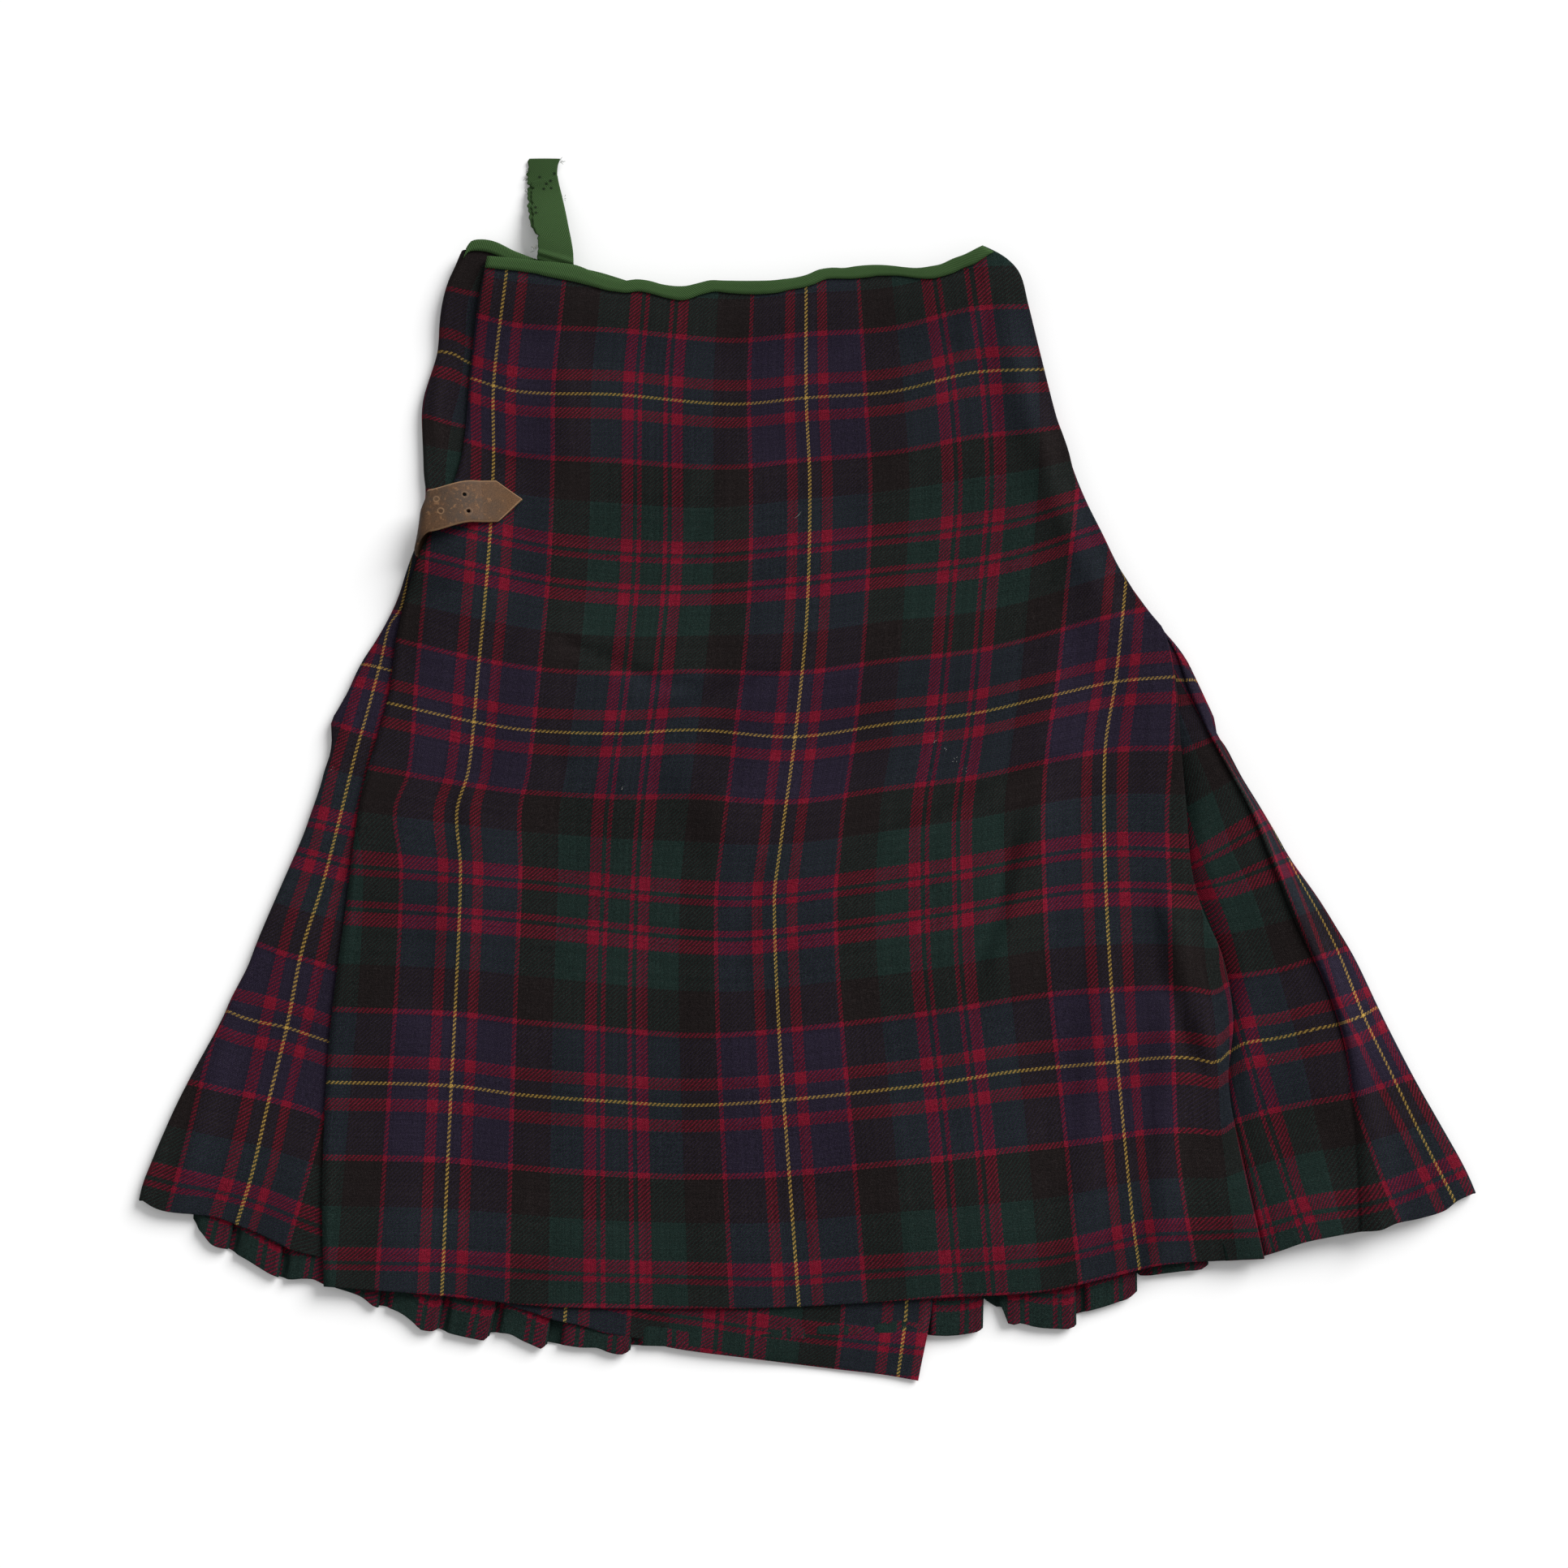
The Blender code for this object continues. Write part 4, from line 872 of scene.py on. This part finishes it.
pleatRow = namedtuple("pleatRow", "slant hem")
pleats = [pleatRow(*row) for row in (  # a fold's lean near the hem, and the lower edge of the face before it
    (5, [(-346.5, -277), (-343.6, -281.1), (-340.2, -285.2), (-335.3, -290.8), (-331, -292.8), (-326, -293.6)]),
    (3, [(-326, -293.2), (-320, -296.6), (-313.5, -300.2), (-307.5, -303.8), (-301.4, -307.3), (-297, -309)]),
    (3, [(-297, -308.6), (-290, -310.3), (-283, -309.9), (-277, -310.2), (-274, -311.5), (-270, -313.5)]),
    (3, [(-270, -313.2), (-255, -317.7), (-249, -320.2), (-243, -324.8), (-240.5, -325.6)]),
    (3, [(-240.5, -324.6), (-236.6, -325), (-229.3, -327.7), (-224.7, -330.3), (-219.6, -334.3),
         (-216.3, -337.4), (-212.6, -338.3), (-209, -338.4), (-206.5, -337.1)]),
    (5, [(-206.5, -337), (-199.5, -339.6), (-192.6, -341.3), (-185.4, -342.7), (-180.5, -343.4), (-178.2, -341.2)]),
    (3, [(-178.2, -339.2), (-171.4, -339.4), (-165.5, -340.3), (-159.5, -343.4), (-152.2, -346.5),
         (-148.2, -348), (-146, -345.8)]),
    (2, [(-146, -344.2), (-138.2, -345.6), (-126.4, -347.3), (-116.9, -347.5), (-113.3, -349.1),
         (-107.4, -350.8), (-101.8, -350.8), (-99.5, -348.8)]),
    (0, [(-99.5, -346), (-66, -347)]), (0, [(-66, -344), (-34, -345)]),
    (0, [(-34, -342), (-2, -343)]), (0, [(-2, -340), (30, -341)]),
    (0, [(30, -339), (62, -341)]),
    (0, [(62, -340.2), (75.3, -341), (83.5, -340.6), (90.3, -339.6), (95, -338.6), (97, -337)]),
    (0, [(97, -319.5), (99, -320.3), (101.9, -323.4), (105.5, -325.2), (108.2, -325.4), (109.5, -327.4),
         (110.5, -332.7), (112.4, -334.6), (115.3, -335), (119.4, -334), (123, -335.3), (129.7, -336.6),
         (137.9, -337.1), (147, -337.1), (149.2, -335.2)]),
    (0, [(149.2, -329.2), (157.1, -327.4), (165.4, -325.2), (173.6, -322.5), (179.1, -320.7), (183.7, -317)]),
    (0, [(183.7, -306), (187, -308.3), (200, -307), (210.9, -305.7), (220.5, -304.8), (224, -302.4)]),
    (0, [(224, -299), (262, -286)]), (0, [(262, -284), (300, -270)]),
    (0, [(300, -269), (337, -256)]))]
backLook = {
    "rows": 56, "length": 620, "inset": {-1: 30.5, 1: 37}, "waistDrop": 7, "waistY": 290.0,
    "firstFold": 0.6, "depth": 0.8, "ramp": 2.2, "rampShare": 0.25,  # how each face climbs off the one before
    "faceSteps": 12, "foldSteps": 4, "hiddenIn": 0.9, "leanFrom": 0.955,
    "halfSett": 96.0, "halfSettDown": 104.0, "foldCount": 1.2, "hemCount": 5.06, "hemReach": 6,
    "tapeLeg": 7.0, "tapeOut": 2.2, "tapeRows": 90,
}


def makePleatedBack():
    look = backLook
    rows, spacing, radius, quarters = look["rows"], look["halfSett"], layerStep / 2, (0.0, 0.25, 0.5, 0.75, 1.0)

    def waistLine(x):
        return underWaistAt(x) - look["waistDrop"]

    def edge(side, y):
        return sideAt[side](waistY - y) - side * look["inset"][side]

    hemLines = [lineOf(pleat.hem, 0, 1) for pleat in pleats]
    hemFolds = [Vector(pleats[0].hem[0])] + [Vector(pleat.hem[-1]) for pleat in pleats]

    def foldAt(n, v):
        hem, share = hemFolds[n + 1], max(n + look["firstFold"], 0) / len(pleats)
        left, right = edge(-1, hem.y), edge(1, hem.y)
        hemShare = (hem.x + pleats[n].slant - left) / (right - left) if n >= 0 else 0
        topLeft, topRight = edge(-1, look["waistY"]), edge(1, look["waistY"])
        topY = waistLine(topLeft + (topRight - topLeft) * share)
        y = topY + (hem.y - topY) * v
        x = edge(-1, y) + (edge(1, y) - edge(-1, y)) * (share + (hemShare - share) * v)
        lean = ease((v - look["leanFrom"]) / (1 - look["leanFrom"]))
        return Vector((x - (pleats[n].slant * lean if n >= 0 else 0), y))

    def section(v):  # one sheet folded to and fro: face, fold back, fold forward, next face
        folds = [foldAt(n, v) for n in range(len(pleats))]
        raised = tapeStep * ease((0.04 - v) / 0.02)
        low, middle, high = (level + raised for level in backLevels)
        before = foldAt(-1, v)
        points = [(before.x, before.y, low, -0.3)]
        for n, fold in enumerate(folds):
            gap = fold.x - before.x
            outer = fold.x - gap * look["depth"]
            ramp = min(look["ramp"], (fold.x - outer) * look["rampShare"])
            count = 2 * n + look["foldCount"]
            start = outer + ramp * 0.4

            def edgeY(x, hidden=0.0):  # straight from fold to fold above, its own line at the hem
                share = min(max((x - before.x) / gap, 0.0), 1.0)
                straight = hemFolds[n].lerp(hemFolds[n + 1], share)
                return before.y + (fold.y - before.y) * share + (
                    hemLines[n](straight.x) - straight.y + hidden) * v ** look["hemReach"]

            def face(x, z):
                points.append((x, edgeY(x), z, count - (fold.x - x) / spacing))

            def under(x, z, further):  # the hidden layers end a little inside the hem
                points.append((x, edgeY(x, look["hiddenIn"]), z, count + further))

            face(before.x, low)
            face((before.x + outer - ramp) / 2, low)
            for share in quarters:
                face(outer - ramp + (start - outer + ramp) * share, low + (high - low) * ease(share))
            for step in range(1, look["faceSteps"]):
                face(start + (fold.x - radius - start) * step / look["faceSteps"], high)
            face(fold.x - radius, high)
            for x, z in halfTurn(fold.x - radius, high - radius, radius, look["foldSteps"]):
                points.append((x, fold.y, z, count + 0.02))
            for share in quarters:
                under(fold.x - radius + (start + radius - fold.x + radius) * share, middle, 0.05 + 0.3 * share)
            for x, z in halfTurn(start + radius, middle - radius, radius, look["foldSteps"], -1):
                under(x, z, 0.4)
            for share in (0.0, 0.5):
                under(start + radius + (fold.x - 1 - start - radius) * share, low, 0.45 + 0.1 * share)
            before = fold
        points.append((edge(1, folds[-1].y), folds[-1].y, low, 2 * len(pleats) + 0.5))
        return points

    sections = [section(rowShare(row, rows, 1.2, look["length"])) for row in range(rows + 1)]

    def place(column, row):
        return sections[row][column][:3]

    def pattern(column, row):
        _, y, _, count = sections[row][column]
        hemY = sections[rows][column][1]
        return (count, look["hemCount"] - (y - hemY) / look["halfSettDown"])

    cloth = makeSheet("pleatedBack", len(sections[0]) - 1, rows, place, clothWall, wool, pattern)

    leg, columns = look["tapeLeg"], look["tapeRows"]
    lowTape, highTape = tapeWall / 2, backLevels[2] + clothWall / 2 + tapeStep + tapeClear + tapeWall / 2
    middle, reach = (lowTape + highTape) / 2, (highTape - lowTape) / 2
    profile = [(-leg, lowTape), (-leg / 2, lowTape)]
    turns = [math.pi * n / 6 for n in range(7)]
    profile += [(look["tapeOut"] * math.sin(turn), middle - reach * math.cos(turn)) for turn in turns]
    profile += [(-leg / 2, highTape), (-leg, highTape)]
    first, last = sections[0][0][0] + 5, sections[0][-1][0]

    def placeTape(column, row):
        x = first + (last - first) * row / columns
        out, z = profile[column]
        return (x, waistLine(x) + out, z)

    binding = makeSheet("backBinding", len(profile) - 1, columns, placeTape, tapeWall, tape,
                        lambda column, row: (profile[column][0] * 0.7 + 5.4, (last - first) * row / columns))
    return cloth, binding


loopLook = {
    "rows": [  # left, right, y, as seen on the plane at "level"
        (-163.8, -141.5, 294), (-163.5, -142, 304), (-164.3, -143.4, 311), (-167.7, -145, 317.5),
        (-169.8, -147.2, 327.7), (-170.3, -149.2, 336), (-170.9, -152.3, 348.5), (-170.6, -152.6, 357),
        (-170.9, -151.0, 363)],
    "level": 6.0, "topY": 365.0, "frontEnd": 0.80, "rest": 1.0, "slantEnd": 2.0, "rootSlant": 3.5,
    "roll": 1.5, "rollAt": 4.2, "rollHalf": 1.6,
    "narrower": 2.4, "narrowY": 306, "narrowRun": 22,  # the upper layer is a little narrower
    # the last share on the next line darkens the whole loop as painted shade
    "ragged": 1.3, "raggedPitch": 2.6, "tornY": 347, "tornHalf": 8, "wornAndShaded": 0.14,
    "moth": [(-155, 355), (-164, 352.5), (-159.5, 347), (-157, 349), (-156.5, 344), (-161, 343.5),
             (-165.5, 330), (-165, 326)],
}


def makeHangingLoop():
    look = loopLook
    startZ = lowerHeight(-152, 298) + clothWall / 2 + tapeStep + tapeClear + tapeWall / 2
    layer, across, steps = tapeWall + 0.6, 34, 100
    leftAt, rightAt = lineOf(look["rows"], 2, 0), lineOf(look["rows"], 2, 1)
    firstY, lastY = look["rows"][0][2], look["rows"][-1][2]

    def station(share, under):
        y = firstY + (lastY - firstY) * share
        z = startZ + (look["rest"] - startZ) * ease((share - 0.12) / 0.75)
        return leftAt(y), rightAt(y), y, z if under else z + layer

    stations = [station(1 - n / steps, True) for n in range(steps + 1)]
    root = (leftAt(firstY), rightAt(firstY))
    for angle in (0.25, 0.5, 0.75):
        stations.append((*root, firstY - 0.9 * math.sin(math.pi * angle), startZ + layer * angle))
    for n in range(steps + 1):
        left, right, y, z = station(look["frontEnd"] * n / steps, False)
        roll = look["roll"] * math.exp(-((y - firstY - look["rollAt"]) / look["rollHalf"]) ** 2)
        stations.append((left, right, y, z + roll + 0.7 * ease((n / steps - 0.88) / 0.12)))

    def place(column, row):
        left, right, y, z = stations[column]
        if column > steps:
            left += look["narrower"] * ease((y - look["narrowY"]) / look["narrowRun"])
        torn = 1 + ease(1 - abs(y - look["tornY"]) / look["tornHalf"])
        ragged = look["ragged"] * noise.noise(Vector((y / look["raggedPitch"], 3, 0))) * torn
        x = left + ragged + (right - left - ragged) * row / across
        slant = look["slantEnd"] * (column / (len(stations) - 1)) ** 6
        slant = (slant - look["rootSlant"] * (1 - ease((y - firstY - 2) / 26))) * (row / across * 2 - 1)
        fray = 0.5 * noise.noise(Vector((x / 1.5, 9, 0))) * (1 if column in (0, len(stations) - 1) else 0)
        swell = 0.25 * math.sin(math.pi * row / across)
        spot = settled(x, y + slant + fray, z + swell, look["level"])
        return (spot[0], min(spot[1], look["topY"]), spot[2])

    # painted shade over the whole loop, and deeper painted shade in the moth holes
    def marks(column, row, point):
        return max([look["wornAndShaded"]] + [1 - ease((math.dist(point.xy, moth) - 0.5) / 0.9) for moth in look["moth"]])

    def pattern(column, row):
        left, right, y, _ = stations[column]
        return ((right - left) * row / across + 2, y)

    return makeSheet("hangingLoop", len(stations) - 1, across, place, tapeWall, tape, pattern, marks)


strapLook = {
    "width": 25.5, "thickness": 2.2, "length": 94.5, "point": 15.0, "root": 22.0, "radius": 6.0,
    "footX": -222.5, "footY": 119.0, "climb": 19.0, "headingIn": 25.0, "headingOut": 5.0,
    "fallRun": 46.0, "arch": 1.6, "archRun": 30.0, "settle": 2.0,
    "cut": 1.5, "cutFrom": 0.3, "cutPower": 1.6,  # the fold is tighter towards its upper end
    "sag": 5.0, "sagRun": 26.0, "punchZ": 21.5, "punchDepth": 14.0, "columns": 150, "rows": 40,
    # the fold's share is painted shade, darkest on the part tucked under the curl
    "edgeRub": 0.8, "rubWidth": 1.1, "paintedFoldShade": 0.7, "foldRun": 8,
    "holes": [  # x, y, radius, and whether it goes through
        (-202.4, 143.4, 1.1, True), (-199.8, 133.4, 1.1, True), (-218.4, 139.6, 0.9, False),
        (-215.6, 132.4, 1.0, False)],
}


def makeStrap():
    look = strapLook
    half, length, radius, root = look["width"] / 2, look["length"], look["radius"], look["root"]
    low = lowerLevel + (clothWall + look["thickness"]) / 2 + tapeClear
    tail = lowerLevel + layerStep + (clothWall + look["thickness"]) / 2 + look["settle"]
    headIn, headOut = math.radians(look["headingIn"]), math.radians(look["headingOut"])
    columns, rows, foldEnd = look["columns"], look["rows"], root + math.pi * radius

    def strapPoint(s, w):
        turn = min(max((s - root) / (math.pi * radius), 0.0), 1.0)
        lean = headIn - (headIn + headOut) * ease(turn)
        corner = max(w / half - look["cutFrom"], 0.0) / (1 - look["cutFrom"])
        bulge = radius * (1 - look["cut"] * corner ** look["cutPower"]) * math.sin(math.pi * turn)
        centre = Vector((look["footX"] - bulge, look["footY"] + look["climb"] * ease(turn)))
        z = low + radius * (1 - math.cos(math.pi * turn))
        if s < root:
            centre += Vector((math.cos(headIn), -math.sin(headIn))) * (root - s)
        run = max(s - foldEnd, 0.0)
        centre.y += look["sag"] * (ease(run / look["sagRun"]) - 1) * ease(turn * 1.5)
        centre += Vector((math.cos(headOut), math.sin(headOut))) * run
        z -= (low + 2 * radius - tail) * ease(run / look["fallRun"])
        z += look["arch"] * math.sin(min(run / look["archRun"], 1) * math.pi)
        spot = centre + Vector((math.sin(lean), math.cos(lean))) * w
        return (spot.x, spot.y, z)

    def across(column, row):
        s, w = length * column / columns, half * (2 * row / rows - 1)
        start = length - look["point"] * 1.6
        if s > start:
            s = start + (s - start) * (length - look["point"] * abs(w) / half - start) / (length - start)
        return s, w

    def place(column, row):
        return strapPoint(*across(column, row))

    def marks(column, row, point):
        s, w = across(column, row)
        toEdge = min(half - abs(w), length - look["point"] * abs(w) / half - s)
        value = look["edgeRub"] * (1 - ease(toEdge / look["rubWidth"]))
        # painted shade, darkest on the part tucked under the fold
        if s < foldEnd:
            return value * 0.6 - look["paintedFoldShade"] * ease((foldEnd - s) / look["foldRun"])
        for x, y, size, through in look["holes"]:
            away = math.dist(point.xy, (x, y))
            ring = (0.35 if through else 0.6) * (1 - ease(abs(away - size - 0.7) / 0.7))
            # inside a hole the leather is darkened: painted shade on a punched hole's walls, a darker spot for a
            # closed hole
            value = max(value, ring) if away > size + 0.2 else -(0.9 if through else 0.45)
        return value

    strap = makeSheet("leatherStrap", columns, rows, place, look["thickness"], leather, across, marks)
    bm = bmesh.new()
    for x, y, size, through in look["holes"]:
        if through:
            bmesh.ops.create_cone(bm, cap_ends=True, segments=20, radius1=size * mm, radius2=size * mm,
                                  depth=look["punchDepth"] * mm,
                                  matrix=Matrix.Translation((x * mm, y * mm, look["punchZ"] * mm)))
    cutter = newPiece("punches", bm, leather, smooth=False)
    cut = strap.modifiers.new("holes", "BOOLEAN")
    cut.operation, cut.object = "DIFFERENCE", cutter
    cutMesh = bpy.data.meshes.new_from_object(strap.evaluated_get(bpy.context.evaluated_depsgraph_get()))
    strap.modifiers.clear()
    strap.data = cutMesh
    bpy.data.objects.remove(cutter)
    return strap


def makeThreads(name, paths, radius, material, sides=5):  # closed tubes that taper to a point at both ends
    bm = bmesh.new()
    for path in paths:
        count = len(path) - 1
        grid = bmesh.ops.create_grid(bm, x_segments=sides, y_segments=count, size=0.5)["verts"]
        for vert in grid:
            column, row = round((vert.co.x + 0.5) * sides), round((vert.co.y + 0.5) * count)
            along = (path[min(row + 1, count)] - path[max(row - 1, 0)]).normalized()
            side = along.cross(Vector((0.13, 0.2, 1))).normalized()
            thick = radius * min(1, 2.2 * min(row, count - row) / count)
            angle = 2 * math.pi * column / sides
            vert.co = (path[row] + (side * math.cos(angle) + side.cross(along) * math.sin(angle)) * thick) * mm
        bmesh.ops.remove_doubles(bm, verts=grid, dist=1e-6)
    bmesh.ops.recalc_face_normals(bm, faces=bm.faces[:])
    return newPiece(name, bm, material)


def curl(start, heading, length, bend, rise, steps=8):  # a fibre that lies in a loose curve
    spots, angle = [Vector(start)], heading
    for n in range(steps):
        angle += bend / steps
        step = Vector((math.cos(angle), math.sin(angle), rise * math.cos(math.pi * n / steps))) * (length / steps)
        spots.append(spots[-1] + step)
    return spots


overApron, overBinding = makeOverApron()
underApron, underBinding = makeUnderApron()
sidePanel = makeSidePanel()
pleatedBack, backBinding = makePleatedBack()
hangingLoop = makeHangingLoop()
leatherStrap = makeStrap()

random.seed(7)
looseFibres = {
    "loopFrays": (0.13, tape, [  # x, y, z, heading, spread, length, how many
        (-151.2, 363.0, 2.6, 0.2, 0.9, 3.4, 7), (-170.6, 356.5, 2.4, 3.3, 0.8, 2.2, 6),
        (-170.9, 350.5, 2.8, 3.0, 0.9, 2.6, 6), (-170.5, 343.0, 3.4, 3.2, 0.7, 2.0, 5),
        (-164.0, 301.0, 11.6, 2.9, 1.0, 3.4, 9), (-149.0, 337.0, 4.6, 0.1, 0.7, 1.8, 3)]),
    "paleFrays": (0.10, lintColour, [
        (-149.6, 336.0, 4.6, 0.4, 1.2, 2.2, 3), (-167.0, 318.5, 8.4, 2.8, 1.0, 2.6, 3),
        (-163.6, 302.0, 12.0, 3.1, 1.2, 3.2, 4), (-170.8, 351.0, 3.0, 2.8, 1.2, 2.0, 2)]),
    "lint": (0.07, lintColour, [
        (75, -4, None, 0.4, 3.1, 1.0, 4), (80, -9, None, 0.9, 3.1, 1.2, 4), (86, -15, None, 1.8, 3.1, 1.1, 4),
        (91, -21, None, 2.6, 3.1, 1.0, 3), (-107, -31, None, 0.3, 3.1, 1.2, 3), (-2, 136, None, 4.4, 0.1, 6.5, 1),
        (-276, -20, None, 1.0, 3.1, 0.9, 2), (263, -189, None, 1.0, 3.1, 0.9, 2)]),
}
tops = {}
for sheet in (sidePanel, underApron, overApron):
    for vert in sheet.data.vertices:
        if vert.normal.z > 0.5:
            spot = (round(vert.co.x / mm / 5), round(vert.co.y / mm / 5))
            tops[spot] = max(tops.get(spot, 0), vert.co.z / mm)
fibres = {}
for name, (radius, material, bunches) in looseFibres.items():
    paths = []
    for x, y, z, heading, spread, length, count in bunches:
        for _ in range(count):
            startX, startY = x + random.uniform(-1.2, 1.2), y + random.uniform(-1.2, 1.2)
            height = tops[(round(startX / 5), round(startY / 5))] + 0.35 if z is None else z
            angle, size = heading + random.uniform(-spread, spread), length * random.uniform(0.6, 1.2)
            paths.append(curl((startX, startY, height), angle, size, random.uniform(-1.6, 1.6), 0.1))
    fibres[name] = makeThreads(name, paths, radius, material)

soft = [
    (overApron, "over_apron", "tartan_wool"), (underApron, "under_apron", "tartan_wool"),
    (sidePanel, "side_panel", "tartan_wool"), (pleatedBack, "pleated_back", "tartan_wool"),
    (overBinding, "over_binding", "green_tape"), (underBinding, "under_binding", "green_tape"),
    (backBinding, "back_binding", "green_tape"), (hangingLoop, "hanging_loop", "green_tape"),
    (leatherStrap, "leather_strap", "brown_leather"),
]
for piece, node, slotName in soft:
    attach(piece, "root")
    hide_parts(node)
for piece in fibres.values():
    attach(piece, "root")

studio = {
    "floorSize": 8, "floorZ": -0.0004, "floorColour": (0.93, 0.93, 0.93, 1), "floorRoughness": 0.9,
    "sky": 0.50, "key": 3.9, "keyWidth": 36, "keyAt": (2.9, 2.6, 2.25),
    "eye": (-0.01338, -0.25973, 1.25324), "tilt": 10.5, "lens": 50, "sensor": 36,
}
bpy.ops.mesh.primitive_plane_add(size=studio["floorSize"], location=(0, 0, studio["floorZ"]))
floor = bpy.context.active_object
floor.name = "floor"
floorColour = bpy.data.materials.new("paleFloor")
floorColour.use_nodes = True
floorShader = floorColour.node_tree.nodes["Principled BSDF"]
floorShader.inputs["Base Color"].default_value = studio["floorColour"]
floorShader.inputs["Roughness"].default_value = studio["floorRoughness"]
floorShader.inputs["Specular IOR Level"].default_value = 0.0
floor.data.materials.append(floorColour)

world = bpy.data.worlds.new("studio")
world.use_nodes = True
world.node_tree.nodes["Background"].inputs["Color"].default_value = (1, 1, 1, 1)
world.node_tree.nodes["Background"].inputs["Strength"].default_value = studio["sky"]
bpy.context.scene.world = world
key = bpy.data.objects.new("key", bpy.data.lights.new("key", "SUN"))
key.data.angle, key.data.energy = math.radians(studio["keyWidth"]), studio["key"]
key.location = studio["keyAt"]
key.rotation_euler = (-key.location).to_track_quat("-Z", "Y").to_euler()
bpy.context.scene.collection.objects.link(key)
print("floor and light made")

camera = bpy.data.objects.new("camera", bpy.data.cameras.new("camera"))
camera.location = studio["eye"]
camera.rotation_euler = (math.radians(studio["tilt"]), 0, 0)
camera.data.lens, camera.data.sensor_width = studio["lens"], studio["sensor"]
bpy.context.scene.collection.objects.link(camera)
bpy.context.scene.camera = camera
bpy.context.scene.view_settings.view_transform = "Standard"

print("scene done")
